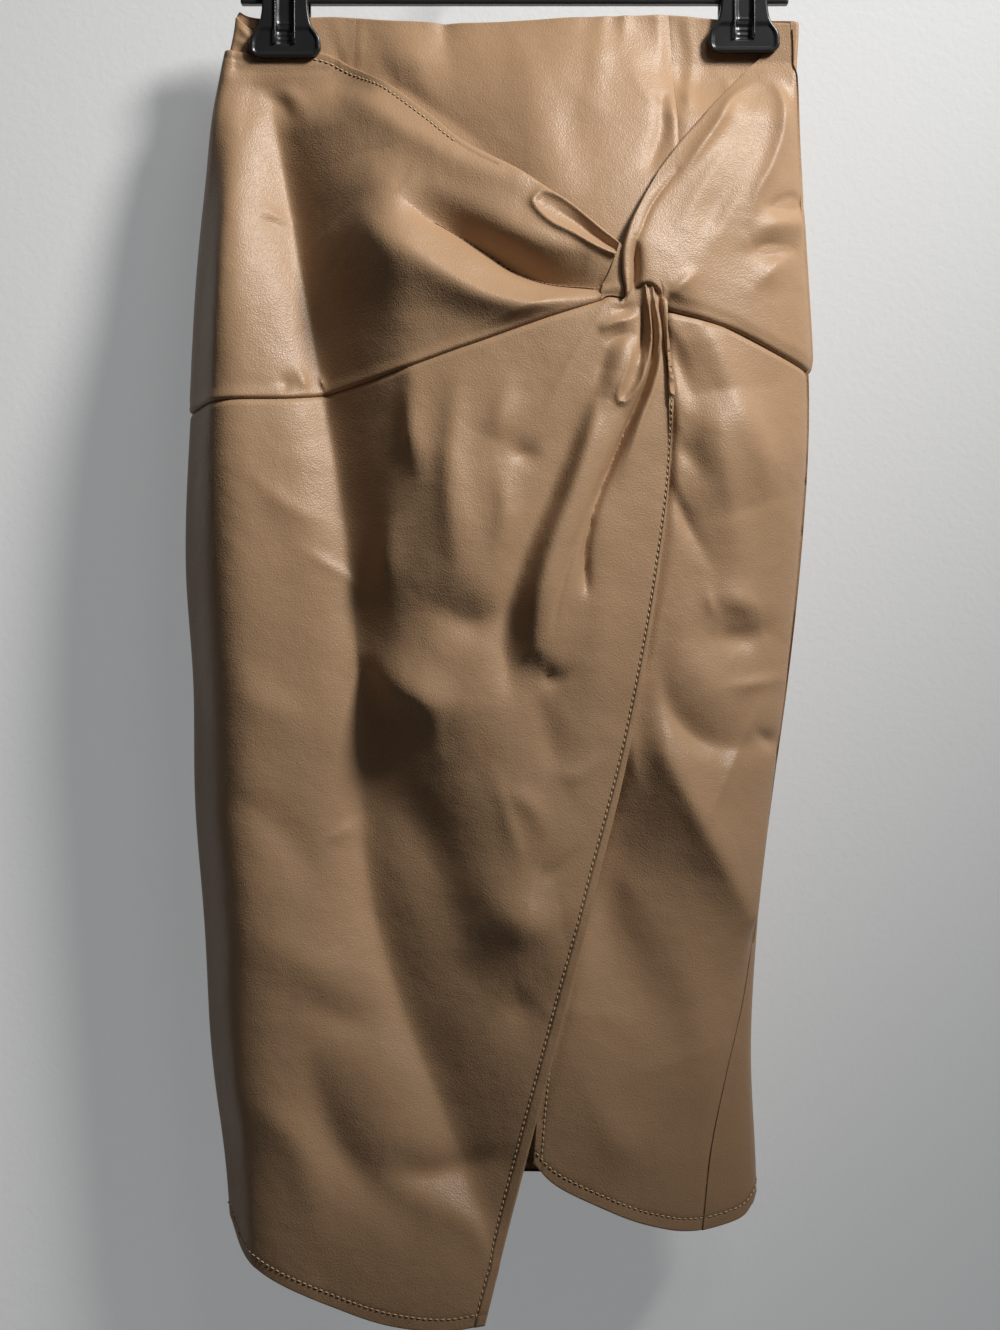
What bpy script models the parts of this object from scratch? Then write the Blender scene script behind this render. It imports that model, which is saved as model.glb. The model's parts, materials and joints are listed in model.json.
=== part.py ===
"""A twist-front faux leather midi skirt, hanging from a black clip hanger.

Metres, +Z up. The front of the skirt faces -Y, and the origin is where the hanger's hook
bears on the rail that holds it. Every piece of cloth is a grid laid on one form, a
flattened tube of sections, and lifted off it by its layer and its folds. A place on the
cloth is written as (across, drop): across is x measured from the middle of the garment,
and drop is the distance below the waist line. Round the tube, 0 degrees is the front's
middle, 90 the right side as seen from the front, and 180 the back's middle.
"""

import math

import bmesh
import bpy
import numpy as np

# Driving sizes
HOOK_TO_WAIST = 0.125  # the rail's bearing point down to the waist line
HOOK_ACROSS = 0.009  # the hook's x, measured from the middle of the garment
WALL = 0.0012  # thickness of the coated cloth
SEAM_GAP = 0.0003  # between pieces sewn edge to edge
SIDE_GAP = 0.0006  # between the back and the fronts, whose seams bend with the sides
SEAM_DIP = 0.0012  # how far cloth sinks along a seam
SEAM_REACH = 0.0050  # how far from the seam it starts to sink
SIDE_RADIUS = 0.0040  # how round the tube turns at its flattened sides
LENS_POWER = 0.62  # 0.5 makes the sections ellipses, 1 makes them sharper lenses
PINCHED_DEPTH = 0.0022  # from the hanger's plane to the cloth's outer face inside a clip
FLAT_ROUND_CLIP = 0.0070  # the cloth stays flat this far past a clip's pad
OPENS_OVER = 0.0420  # and opens out to the full tube over this length
GRIPPED_LAYER = 0.0022  # how far the drapes lie out from the waist panels inside a clip
DRAPE_LAYER = 0.0030  # and past it
OVERLAP_LAYER = 0.0032  # how far the overlap lies out from the underlap
TUCK_LAYER = 0.0048  # how far the twist's inner band lies out
TUCKED = 0.0120  # the waist panels end this far above the hip seam, inside the drapes
SUNK = 0.0020  # how much deeper the waist panels lie where the drapes cover them
SUNK_BY = 0.0900  # and the drop by which they do
FOLDS_FROM_SIDE = 0.0200  # the tube's folds start at its sides and are full this far in

# The tube's sections
SECTION_COLUMNS = ("drop", "centre", "half_width", "front_depth", "back_depth")
SECTIONS = (
    (-0.010, 0.0105, 0.1745, 0.0060, 0.0055),
    (0.000, 0.0105, 0.1752, 0.0062, 0.0058),
    (0.030, 0.0070, 0.1775, 0.0180, 0.0150),
    (0.060, 0.0035, 0.1795, 0.0310, 0.0235),
    (0.100, 0.0020, 0.1820, 0.0450, 0.0320),
    (0.150, 0.0010, 0.1860, 0.0560, 0.0395),
    (0.240, 0.0005, 0.1905, 0.0640, 0.0450),
    (0.340, -0.0040, 0.1893, 0.0650, 0.0450),
    (0.410, -0.0055, 0.1832, 0.0630, 0.0430),
    (0.485, -0.0100, 0.1776, 0.0600, 0.0410),
    (0.560, -0.0112, 0.1706, 0.0570, 0.0385),
    (0.635, -0.0112, 0.1666, 0.0535, 0.0370),
    (0.710, -0.0050, 0.1638, 0.0505, 0.0360),
    (0.810, -0.0010, 0.1628, 0.0480, 0.0350),
)

# Seams and edges on the front, as (across, drop)
WAIST_TOP = (
    (-0.1650, -0.0030), (-0.1500, 0.0075), (-0.1350, 0.0000), (-0.1116, -0.0024), (-0.0600, 0.0007),
    (0.0000, 0.0023), (0.0743, -0.0013), (0.1047, -0.0033), (0.1352, -0.0012), (0.1860, 0.0014),
)
PRINCESS_LEFT = ((-0.0892, -0.0009), (-0.0904, 0.0300), (-0.0915, 0.2200))
PRINCESS_RIGHT = ((0.1047, -0.0033), (0.1074, 0.0359), (0.1110, 0.1750))
DRAPE_LEFT_TOP = (
    (-0.1698, 0.0165), (-0.1389, 0.0290), (-0.1233, 0.0275), (-0.1090, 0.0215), (-0.0910, 0.0299),
    (-0.0461, 0.0643), (-0.0199, 0.0873), (0.0120, 0.1044), (0.0359, 0.1206), (0.0705, 0.1490),
)
DRAPE_RIGHT_TOP = (
    (0.1812, 0.0060), (0.1576, 0.0273), (0.1285, 0.0597), (0.1100, 0.0816), (0.0950, 0.1030),
)
DRAPE_RIGHT_ROLL = ((0.0950, 0.1030), (0.0828, 0.1250), (0.0754, 0.1416), (0.0722, 0.1541), (0.0735, 0.1825))
HIP_SEAM_LEFT = (
    (-0.1909, 0.2457), (-0.1746, 0.2419), (-0.1226, 0.2391), (-0.0843, 0.2320), (-0.0195, 0.2114),
    (0.0356, 0.1920), (0.0600, 0.1845),
)
KNOT_SEAM = ((0.0600, 0.1845), (0.0660, 0.1815), (0.0735, 0.1825))
LOOP_ARCH = ((0.0735, 0.1825), (0.0790, 0.1770), (0.0860, 0.1745), (0.0925, 0.1780), (0.0962, 0.1870))
HIP_SEAM_RIGHT = ((0.0962, 0.1870), (0.1349, 0.1965), (0.1716, 0.2114), (0.1905, 0.2191))
WRAP_EDGE = (
    (0.0962, 0.1870), (0.1011, 0.2519), (0.0993, 0.2954), (0.0945, 0.3388), (0.0773, 0.4452),
    (0.0530, 0.5476), (0.0226, 0.6718), (-0.0090, 0.7953),
)
OVERLAP_HEM = (
    (-0.1640, 0.7390), (-0.1495, 0.7633), (-0.1014, 0.7857), (-0.0618, 0.7968), (-0.0350, 0.7990),
    (-0.0090, 0.7953),
)
UNDERLAP_EDGE = ((0.0840, 0.1905), (0.0760, 0.3400), (0.0480, 0.5000), (0.0225, 0.6600), (0.0197, 0.6994))
UNDERLAP_HEM = (
    (0.0197, 0.6994), (0.0316, 0.7116), (0.0575, 0.7251), (0.0928, 0.7392), (0.1095, 0.7430),
    (0.1233, 0.7438),
)

# Seams and edges round the tube, as (degrees, drop)
LEFT_SIDE = -90.0
SIDE_SEAM_RIGHT = (
    (75.0, 0.0000), (79.0, 0.0250), (82.0, 0.0740), (83.0, 0.1500), (83.0, 0.5200), (80.5, 0.5600),
    (74.0, 0.6064), (65.5, 0.6426), (55.6, 0.6925), (50.8, 0.7438),
)
BACK_TOP = (
    (75.0, 0.0005), (110.0, -0.0005), (180.0, 0.0010), (235.0, -0.0010), (262.0, -0.0060), (270.0, -0.0030),
)
BACK_HEM_AT_SIDE = 0.7270
BACK_HEM = (
    (50.8, 0.7438), (66.0, 0.7400), (78.0, 0.7325), (90.0, 0.7270), (135.0, 0.7240), (180.0, 0.7240),
    (225.0, 0.7260), (270.0, 0.7390),
)

# Folds. A fold follows its path of (across, drop) places and lifts the cloth by its lift at
# each of them, less than 0 in a trough. wide is its half width at its two ends, lean is its
# right side's width as a share of its left side's, and soft says how round its crest is.
FOLD_COLUMNS = ("path", "lift", "wide", "lean", "soft")
TUBE_FOLDS = (  # of the whole front, which every layer follows
    (((-0.167, 0.065), (-0.169, 0.140), (-0.171, 0.250), (-0.162, 0.420), (-0.152, 0.600), (-0.147, 0.790)),
     (0.000, 0.009, 0.014, 0.013, 0.011, 0.008), (0.016, 0.028), 1.0, 1.0),
    (((-0.141, 0.040), (-0.129, 0.120), (-0.105, 0.240), (-0.084, 0.350), (-0.074, 0.460), (-0.070, 0.580),
      (-0.046, 0.670), (-0.004, 0.775)),
     (-0.001, -0.008, -0.012, -0.012, -0.010, -0.008, -0.007, -0.003), (0.020, 0.030), 1.25, 0.4),
    (((-0.045, 0.260), (-0.030, 0.420), (-0.012, 0.600)), (0.003, 0.006, 0.002), (0.040, 0.050), 1.0, 1.0),
)
DRAPE_LEFT_FOLDS = (
    (((0.020, 0.118), (0.046, 0.134), (0.070, 0.155)), (0.001, 0.004, 0.006), (0.009, 0.005), 1.0, 0.4),
    (((0.022, 0.136), (0.044, 0.148), (0.068, 0.163)), (0.000, 0.005, 0.005), (0.009, 0.005), 0.8, 0.3),
    (((-0.066, 0.115), (-0.010, 0.165), (0.060, 0.180)), (0.000, 0.009, 0.006), (0.024, 0.008), 0.7, 0.2),
)
DRAPE_RIGHT_FOLDS = (
    (((0.160, 0.055), (0.128, 0.115), (0.092, 0.176)), (0.003, 0.012, 0.011), (0.024, 0.012), 1.0, 0.9),
    (((0.176, 0.100), (0.152, 0.130), (0.122, 0.165)), (0.002, 0.006, 0.004), (0.020, 0.014), 1.0, 0.8),
    (((0.083, 0.130), (0.0775, 0.152), (0.0775, 0.178)), (0.001, 0.005, 0.004), (0.005, 0.004), 1.0, 0.5),
    (((0.190, 0.145), (0.165, 0.155), (0.140, 0.176)), (-0.002, -0.007, 0.000), (0.007, 0.012), 1.2, 0.5),
)
OVERLAP_FOLDS = (
    (((0.080, 0.190), (0.050, 0.290), (0.024, 0.395)), (0.004, 0.010, 0.008), (0.008, 0.018), 0.8, 0.3),
    (((0.058, 0.200), (0.030, 0.290), (0.002, 0.400)), (-0.001, -0.006, 0.000), (0.010, 0.026), 1.0, 0.8),
    (((-0.060, 0.590), (0.000, 0.630), (0.040, 0.600)), (0.002, 0.007, 0.004), (0.040, 0.024), 1.0, 0.8),
)
UNDERLAP_FOLDS = (
    (((0.085, 0.428), (0.112, 0.486), (0.146, 0.552)), (0.004, 0.009, 0.004), (0.026, 0.020), 0.6, 0.2),
    (((0.112, 0.192), (0.118, 0.240), (0.124, 0.300)), (0.002, 0.006, 0.000), (0.009, 0.014), 1.0, 0.5),
    (((0.135, 0.200), (0.156, 0.290), (0.164, 0.400)), (0.001, 0.006, 0.003), (0.010, 0.020), 1.0, 0.7),
    (((0.070, 0.500), (0.085, 0.590), (0.105, 0.650)), (0.000, -0.006, 0.000), (0.024, 0.030), 1.0, 0.9),
)
BACK_FOLDS = (  # across is as seen from the front
    (((-0.132, 0.035), (-0.105, 0.250), (-0.070, 0.640)), (0.001, 0.009, 0.005), (0.026, 0.050), 1.2, 0.4),
    (((0.140, 0.035), (0.100, 0.240), (0.075, 0.600)), (0.001, 0.009, 0.005), (0.026, 0.050), 0.9, 0.4),
    (((-0.010, 0.060), (0.012, 0.230), (-0.012, 0.470)), (-0.002, -0.006, 0.000), (0.026, 0.050), 1.0, 1.0),
    (((-0.040, 0.420), (0.030, 0.520), (0.010, 0.690)), (0.000, 0.006, 0.004), (0.030, 0.040), 1.0, 0.7),
)

# The hanger and its clips. A pad's across and low give its middle and its lower edge's drop.
CLIPS = {"left": {"across": -0.133, "low": 0.0225}, "right": {"across": 0.151, "low": 0.0195}}
PAD_WIDE = 0.0450
PAD_TALL = 0.0180
NECK_WIDE = 0.0300
JAW_THICK = 0.0038
PAD_RIM = 0.0014
RIM_WIDE = 0.0018
RIM_SLOPE = 0.0003
JAW_CLEAR = 0.0004  # between a jaw and the cloth it grips
BAR_LOW = -0.0100  # drop of the bar's lower edge
BAR_TALL = 0.0200
BAR_OVERHANG = 0.0280  # past the middle of each clip
SPRING_WIDE = 0.0130
SPRING_THICK = 0.0012
SPRING_ON_PAD = 0.0110  # how far the spring's legs reach down onto the pads
PART_GAP = 0.0003
HOOK_WIRE = 0.0040
HOOK_INNER_RADIUS = 0.0210
HOOK_OPENING = 200.0  # degrees of turn to its tip, from the right
HOOK_START = -55.0  # degrees of turn where its shank joins it

GRIDS = {  # columns across, rows down
    "waist_front_left": (8, 12), "waist_front_centre": (9, 12), "waist_front_right": (6, 12),
    "drape_left": (24, 11), "drape_right": (14, 14), "twist_tuck": (3, 4),
    "front_overlap": (25, 25), "front_underlap": (12, 18), "back": (24, 25),
}
BACK_ROUND_SIDE = 4  # the back's columns from its right seam to the tube's side


def interpolate(places, values, at):
    """A smooth curve through values at places, read at an array of places."""
    places, values = np.asarray(places), np.asarray(values)
    slopes = np.gradient(values, places)
    at = np.clip(at, places[0], places[-1])
    low = np.clip(np.searchsorted(places, at) - 1, 0, len(places) - 2)
    span = places[low + 1] - places[low]
    t = (at - places[low]) / span
    rise = values[low + 1] - values[low]
    near, far = slopes[low] * span, slopes[low + 1] * span
    return values[low] + t * (near + t * (3 * rise - 2 * near - far + t * (near + far - 2 * rise)))


def section(column, drop):
    """One named column of SECTIONS at an array of drops."""
    index = SECTION_COLUMNS.index(column)
    return interpolate([row[0] for row in SECTIONS], [row[index] for row in SECTIONS], drop)


def height(drop):
    return -(HOOK_TO_WAIST + drop)


def smooth(t):
    t = np.clip(t, 0.0, 1.0)
    return t * t * (3 - 2 * t)


def closed_by_clips(across, drop):
    """How strongly the clips close the tube, from 0 to 1."""
    closed = np.zeros_like(drop)
    for clip in CLIPS.values():
        beside = np.maximum(np.abs(across - clip["across"]) - PAD_WIDE / 2 - FLAT_ROUND_CLIP, 0.0)
        below = np.maximum(drop - clip["low"] - FLAT_ROUND_CLIP, 0.0)
        closed = np.maximum(closed, 1 - smooth(np.hypot(beside, below) / OPENS_OVER))
    return closed


def form(degrees, drop):
    """The bare tube: points at arrays of degrees round from the front and of drops."""
    angle = np.radians(degrees)
    half = section("half_width", drop)
    across = section("centre", drop) + half * np.sin(angle)
    front = np.cos(angle) > 0
    closed = closed_by_clips(across, drop)
    depth = np.where(front, section("front_depth", drop), section("back_depth", drop))
    depth = depth * (1 - closed) + PINCHED_DEPTH * closed
    radius = np.minimum(SIDE_RADIUS, depth)
    from_side = half * (1 - np.abs(np.sin(angle)))
    rim = np.clip(from_side / radius, 0.0, 1.0)
    share = np.clip(from_side / half, 0.0, 1.0)
    away = radius * np.sqrt(rim * (2 - rim)) + (depth - radius) * (share * (2 - share)) ** LENS_POWER
    away += fold_lift(TUBE_FOLDS, across, drop) * front * smooth(from_side / FOLDS_FROM_SIDE) * (1 - closed)
    return np.stack([across - HOOK_ACROSS, np.where(front, -away, away), height(drop)], axis=-1)


def outward(degrees, drop):
    """Unit normals of the bare tube, pointing out of it."""
    step_round, step_down = 0.3, 0.0006
    round_it = form(degrees + step_round, drop) - form(degrees - step_round, drop)
    down_it = form(degrees, drop + step_down) - form(degrees, drop - step_down)
    normal = np.cross(down_it, round_it)
    return normal / np.linalg.norm(normal, axis=-1, keepdims=True)


def degrees_at(across, drop):
    """Degrees round from the front of a point on the front half."""
    share = (across - section("centre", drop)) / section("half_width", drop)
    return np.degrees(np.arcsin(np.clip(share, -1.0, 1.0)))


def fold_lift(folds, across, drop):
    """How far the folds together lift the cloth at arrays of places."""
    total = np.zeros_like(across)
    for row in folds:
        fold = dict(zip(FOLD_COLUMNS, row))
        places = range(len(fold["path"]))
        steps = np.linspace(0.0, places[-1], 8 * places[-1] + 1)
        path_across, path_drop = (interpolate(places, values, steps) for values in zip(*fold["path"]))
        best = np.full_like(across, np.inf)
        along = np.zeros_like(across)
        side = np.zeros_like(across)
        for i in range(len(steps) - 1):
            step_across, step_drop = path_across[i + 1] - path_across[i], path_drop[i + 1] - path_drop[i]
            from_across, from_drop = across - path_across[i], drop - path_drop[i]
            t = (from_across * step_across + from_drop * step_drop) / (step_across**2 + step_drop**2)
            t = np.clip(t, 0.0, 1.0)
            gap = np.hypot(from_across - t * step_across, from_drop - t * step_drop)
            nearer = gap < best
            best = np.where(nearer, gap, best)
            along = np.where(nearer, steps[i] + t * (steps[i + 1] - steps[i]), along)
            side = np.where(nearer, from_across * step_drop - from_drop * step_across, side)
        wide = np.interp(along, (0.0, places[-1]), fold["wide"]) * np.where(side > 0, fold["lean"], 1.0)
        soft = fold["soft"] + 0.05
        crest = np.exp(-(np.hypot(best / wide, soft) - soft) * (1 + soft))
        total += interpolate(places, fold["lift"], along) * crest
    return total


def spaced(count):
    """count + 1 shares from 0 to 1, closer together at both ends."""
    t = np.linspace(0.0, 1.0, count + 1)
    return t - 0.55 * np.sin(2 * math.pi * t) / (2 * math.pi)


def from_waist(count):
    """count + 1 shares from 0 to 1, closer together near the waist."""
    return np.linspace(0.0, 1.0, count + 1) ** 1.5


def along_edge(degrees, drops, shares):
    """Places on an edge, given densely, at shares of its length on the tube."""
    points = form(degrees, drops)
    lengths = np.concatenate([[0.0], np.cumsum(np.linalg.norm(np.diff(points, axis=0), axis=-1))])
    at = shares * lengths[-1]
    return np.stack([np.interp(at, lengths, degrees), np.interp(at, lengths, drops)], axis=-1)


def dense(curve):
    """A smooth curve through (a, b) rows, as two arrays of 200 values."""
    rows = np.array(curve)
    scaled = rows / np.ptp(rows, axis=0).clip(1e-9)
    lengths = np.concatenate([[0.0], np.cumsum(np.hypot(*np.diff(scaled, axis=0).T))])
    at = np.linspace(0.0, lengths[-1], 200)
    return interpolate(lengths, rows[:, 0], at), interpolate(lengths, rows[:, 1], at)


def front_edge(curves, shares):
    """Places of (degrees, drop) along front curves that follow each other."""
    across, drops = (np.concatenate(parts) for parts in zip(*(dense(curve) for curve in curves)))
    return along_edge(degrees_at(across, drops), drops, shares)


def round_edge(curve, shares):
    """Places of (degrees, drop) along a curve given in degrees."""
    return along_edge(*dense(curve), shares)


def side_seam(drop_range, shares, right):
    drops = np.linspace(*drop_range, 200)
    if not right:
        return along_edge(np.full_like(drops, LEFT_SIDE), drops, shares)
    seam = np.array(SIDE_SEAM_RIGHT)
    return along_edge(interpolate(seam[:, 1], seam[:, 0], drops), drops, shares)


def filled(top, bottom, left, right, across_shares, down_shares):
    """The places inside four edges that meet at their corners: a Coons patch, rows down."""
    u, v = across_shares[None, :, None], down_shares[:, None, None]
    return (
        (1 - v) * top[None] + v * bottom[None] + (1 - u) * left[:, None] + u * right[:, None]
        - (1 - u) * (1 - v) * (top[0] + left[0]) / 2 - u * (1 - v) * (top[-1] + right[0]) / 2
        - (1 - u) * v * (bottom[0] + left[-1]) / 2 - u * v * (bottom[-1] + right[-1]) / 2
    )


def drawn_in(places, gap):
    """The patch made smaller by gap along its four edges, measured on the tube."""
    points = form(places[..., 0], places[..., 1])
    result = places.copy()
    for edge, inner in (((0,), (1,)), ((-1,), (-2,)), ((slice(None), 0), (slice(None), 1)),
                        ((slice(None), -1), (slice(None), -2))):
        reach = np.linalg.norm(points[inner] - points[edge], axis=-1)[..., None]
        result[edge] += (places[inner] - places[edge]) * np.clip(gap / reach, 0.0, 0.4)
    return result


def edge_distances(places):
    """How far each place of a patch is from its top, bottom, left and right edges."""
    points = form(places[..., 0], places[..., 1])
    distances = {}
    for axis, names in ((0, ("top", "bottom")), (1, ("left", "right"))):
        steps = np.linalg.norm(np.diff(points, axis=axis), axis=-1)
        start = np.zeros_like(np.take(places[..., 0], [0], axis=axis))
        gone = np.concatenate([start, np.cumsum(steps, axis=axis)], axis=axis)
        distances[names[0]] = gone
        distances[names[1]] = np.take(gone, [-1], axis=axis) - gone
    return distances


def seam_dip(distances, *edges):
    """How far seams along the named edges pull the cloth in."""
    nearest = np.minimum.reduce([distances[edge] for edge in edges])
    return SEAM_DIP * (1 - smooth(nearest / SEAM_REACH))


def material(name, colour, roughness, metallic=0.0):
    made = bpy.data.materials.new(name)
    made.use_nodes = True
    shader = made.node_tree.nodes["Principled BSDF"]
    shader.inputs["Base Color"].default_value = (*colour, 1.0)
    shader.inputs["Roughness"].default_value = roughness
    shader.inputs["Metallic"].default_value = metallic
    return made


def add_object(name, bm, finish):
    if bm.calc_volume(signed=True) < 0:
        bmesh.ops.reverse_faces(bm, faces=bm.faces)
    mesh = bpy.data.meshes.new(name)
    bm.to_mesh(mesh)
    bm.free()
    mesh.materials.append(finish)
    obj = bpy.data.objects.new(name, mesh)
    bpy.context.scene.collection.objects.link(obj)
    return obj


def cloth(name, places, lift, finish):
    """A cloth wall over a patch of places, its outer face lifted off the tube."""
    degrees, drop = places[..., 0], places[..., 1]
    bare = outward(degrees, drop)
    outer = form(degrees, drop) + bare * lift[..., None]
    normals = np.cross(np.gradient(outer, axis=0), np.gradient(outer, axis=1))
    normals /= np.linalg.norm(normals, axis=-1, keepdims=True)
    for edge in ((0,), (-1,), (slice(None), 0), (slice(None), -1)):
        normals[edge] = bare[edge]
    inner = outer - normals * WALL
    rows, columns = places.shape[0] - 1, places.shape[1] - 1
    bm = bmesh.new()
    bmesh.ops.create_grid(bm, x_segments=columns, y_segments=rows, size=0.5)
    bmesh.ops.solidify(bm, geom=bm.faces[:], thickness=0.1)
    highest = max(vertex.co.z for vertex in bm.verts)
    for vertex in bm.verts:
        column = round((vertex.co.x + 0.5) * columns)
        row = round((0.5 - vertex.co.y) * rows)
        side = outer if vertex.co.z > highest - 0.05 else inner
        vertex.co = side[row, column]
    return add_object(name, bm, finish)


def across_of(places):
    """The across of (degrees, drop) places."""
    return section("centre", places[..., 1]) + section("half_width", places[..., 1]) * np.sin(
        np.radians(places[..., 0])
    )


def make_waist_front(finish):
    """Three fitted panels between princess seams, running down inside the drapes."""
    lows = [(x, h - TUCKED) for x, h in HIP_SEAM_LEFT[:-1]]
    lows += [(0.075, 0.1700 - TUCKED)] + [(x, h - TUCKED) for x, h in HIP_SEAM_RIGHT[1:]]

    def low_at(across):
        return interpolate(*zip(*lows), across)

    def top_at(across):
        return interpolate(*zip(*WAIST_TOP), across)

    def princess(curve, shares):
        across = np.interp(shares, (0, 1), (curve[0][0], curve[-1][0]))
        drops = np.interp(shares, (0, 1), (top_at(curve[0][0]), low_at(curve[-1][0])))
        across = interpolate([h for _, h in curve], [x for x, _ in curve], drops)
        return np.stack([degrees_at(across, drops), drops], axis=-1)

    for name in ("waist_front_left", "waist_front_centre", "waist_front_right"):
        columns, rows = GRIDS[name]
        u, v = spaced(columns), from_waist(rows)
        if name == "waist_front_left":
            left = side_seam((WAIST_TOP[0][1], lows[0][1]), v, right=False)
        else:
            left = princess(PRINCESS_LEFT if name == "waist_front_centre" else PRINCESS_RIGHT, v)
        if name == "waist_front_right":
            right = side_seam((WAIST_TOP[-1][1], lows[-1][1]), v, right=True)
        else:
            right = princess(PRINCESS_LEFT if name == "waist_front_left" else PRINCESS_RIGHT, v)
        edges = []
        for end, height in ((0, top_at), (-1, low_at)):
            ends = across_of(np.stack([left[end], right[end]]))
            across = np.linspace(ends[0], ends[1], 200)
            drops = height(across)
            drops += np.linspace(left[end][1] - drops[0], right[end][1] - drops[-1], 200)
            edge = along_edge(degrees_at(across, drops), drops, u)
            edge[0], edge[-1] = left[end], right[end]
            edges.append(edge)
        places = drawn_in(filled(*edges, left, right, u, v), SEAM_GAP / 2)
        drop = places[..., 1]
        lift = -seam_dip(edge_distances(places), "left", "right") - SUNK * smooth(drop / SUNK_BY)
        lift *= 1 - closed_by_clips(across_of(places), drop)
        cloth(name, places, lift, finish)


def overlap_lift(across, drop):
    return OVERLAP_LAYER + fold_lift(OVERLAP_FOLDS, across, drop)


def underlap_lift(across, drop):
    """The underlap's own folds where it shows, kept beneath the overlap where it is covered."""
    own = fold_lift(UNDERLAP_FOLDS, across, drop)
    cover = overlap_lift(across, drop) - OVERLAP_LAYER
    edge = interpolate([h for _, h in WRAP_EDGE], [x for x, _ in WRAP_EDGE], drop)
    covered = smooth((edge + 0.022 - across) / 0.022)
    return own * (1 - covered) + np.minimum(own, cover) * covered


def resting_lift(across, drop):
    """How far a drape lies out where it has no fold: flat in a clip, looser past it."""
    loose = smooth((1 - closed_by_clips(across, drop)) / 0.03)
    return GRIPPED_LAYER + (DRAPE_LAYER - GRIPPED_LAYER) * loose


def make_drapes(finish):
    """Two draped pieces that cross the front and meet in a twist."""
    columns, rows = GRIDS["drape_left"]
    u, v = spaced(columns), spaced(rows)
    top, bottom = front_edge([DRAPE_LEFT_TOP], u), front_edge([HIP_SEAM_LEFT], u)
    left = side_seam((top[0, 1], bottom[0, 1]), v, right=False)
    right = front_edge([(DRAPE_LEFT_TOP[-1], HIP_SEAM_LEFT[-1])], v)
    top[0], bottom[0] = left[0], left[-1]
    places = drawn_in(filled(top, bottom, left, right, u, v), SEAM_GAP / 2)
    across, drop = across_of(places), places[..., 1]
    near = edge_distances(places)
    own = np.maximum(fold_lift(DRAPE_LEFT_FOLDS, across, drop), 0.0)
    own = own * smooth(near["left"] / 0.012) * (1 - closed_by_clips(across, drop))
    own = resting_lift(across, drop) + own * smooth(near["top"] / 0.010 + 0.1)
    meets = smooth(1 - near["bottom"] / (TUCKED - 0.002))
    at_seam = overlap_lift(across, drop) * smooth(near["left"] / 0.012)
    lift = own * (1 - meets) + at_seam * meets - seam_dip(near, "bottom")
    cloth("drape_left", places, lift, finish)

    columns, rows = GRIDS["drape_right"]
    u, v = spaced(columns), spaced(rows)
    top = front_edge([DRAPE_RIGHT_TOP[::-1]], u)
    bottom = front_edge([LOOP_ARCH, HIP_SEAM_RIGHT], u)
    left = front_edge([DRAPE_RIGHT_ROLL], v)
    right = side_seam((DRAPE_RIGHT_TOP[0][1], HIP_SEAM_RIGHT[-1][1]), v, right=True)
    top[-1], bottom[-1] = right[0], right[-1]
    places = drawn_in(filled(top, bottom, left, right, u, v), SEAM_GAP / 2)
    across, drop = across_of(places), places[..., 1]
    near = edge_distances(places)
    own = np.maximum(fold_lift(DRAPE_RIGHT_FOLDS, across, drop), 0.0)
    own = own * smooth(near["right"] / 0.012) * (1 - closed_by_clips(across, drop))
    own = resting_lift(across, drop) + own * smooth(near["top"] / 0.008 + 0.1)
    raised = smooth((0.120 - across) / 0.030) * 0.0060
    own = own + raised * smooth((drop - 0.125) / 0.030)
    meets = smooth(1 - near["bottom"] / (TUCKED - 0.002)) * smooth((across - 0.092) / 0.014)
    at_seam = underlap_lift(across, drop) * smooth(near["right"] / 0.012)
    lift = own * (1 - meets) + at_seam * meets - seam_dip(near, "bottom")
    cloth("drape_right", places, lift, finish)


def make_tuck(finish):
    """The band of the twist that shows between the two drapes."""
    columns, rows = GRIDS["twist_tuck"]
    u, v = np.linspace(0, 1, columns + 1), np.linspace(0, 1, rows + 1)
    left = front_edge([(DRAPE_LEFT_TOP[-1], HIP_SEAM_LEFT[-1])], v)
    right = front_edge([((0.0735, 0.1520), (0.0722, 0.1600), KNOT_SEAM[-1])], v)
    top, bottom = front_edge([((0.0705, 0.1490), (0.0735, 0.1520))], u), front_edge([KNOT_SEAM], u)
    places = drawn_in(filled(top, bottom, left, right, u, v), 4 * SEAM_GAP)
    lift = np.full(places.shape[:2], TUCK_LAYER)
    cloth("twist_tuck", places, lift, finish)


def make_overlap(finish):
    columns, rows = GRIDS["front_overlap"]
    u, v = spaced(columns), spaced(rows)
    top = front_edge([HIP_SEAM_LEFT, KNOT_SEAM, LOOP_ARCH], u)
    bottom = front_edge([OVERLAP_HEM], u)
    left = side_seam((top[0, 1], bottom[0, 1]), v, right=False)
    right = front_edge([WRAP_EDGE], v)
    top[0], bottom[0] = left[0], left[-1]
    places = drawn_in(filled(top, bottom, left, right, u, v), SEAM_GAP / 2)
    near = edge_distances(places)
    lift = overlap_lift(across_of(places), places[..., 1]) * smooth(near["left"] / 0.012)
    cloth("front_overlap", places, lift - seam_dip(near, "top", "left"), finish)


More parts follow.
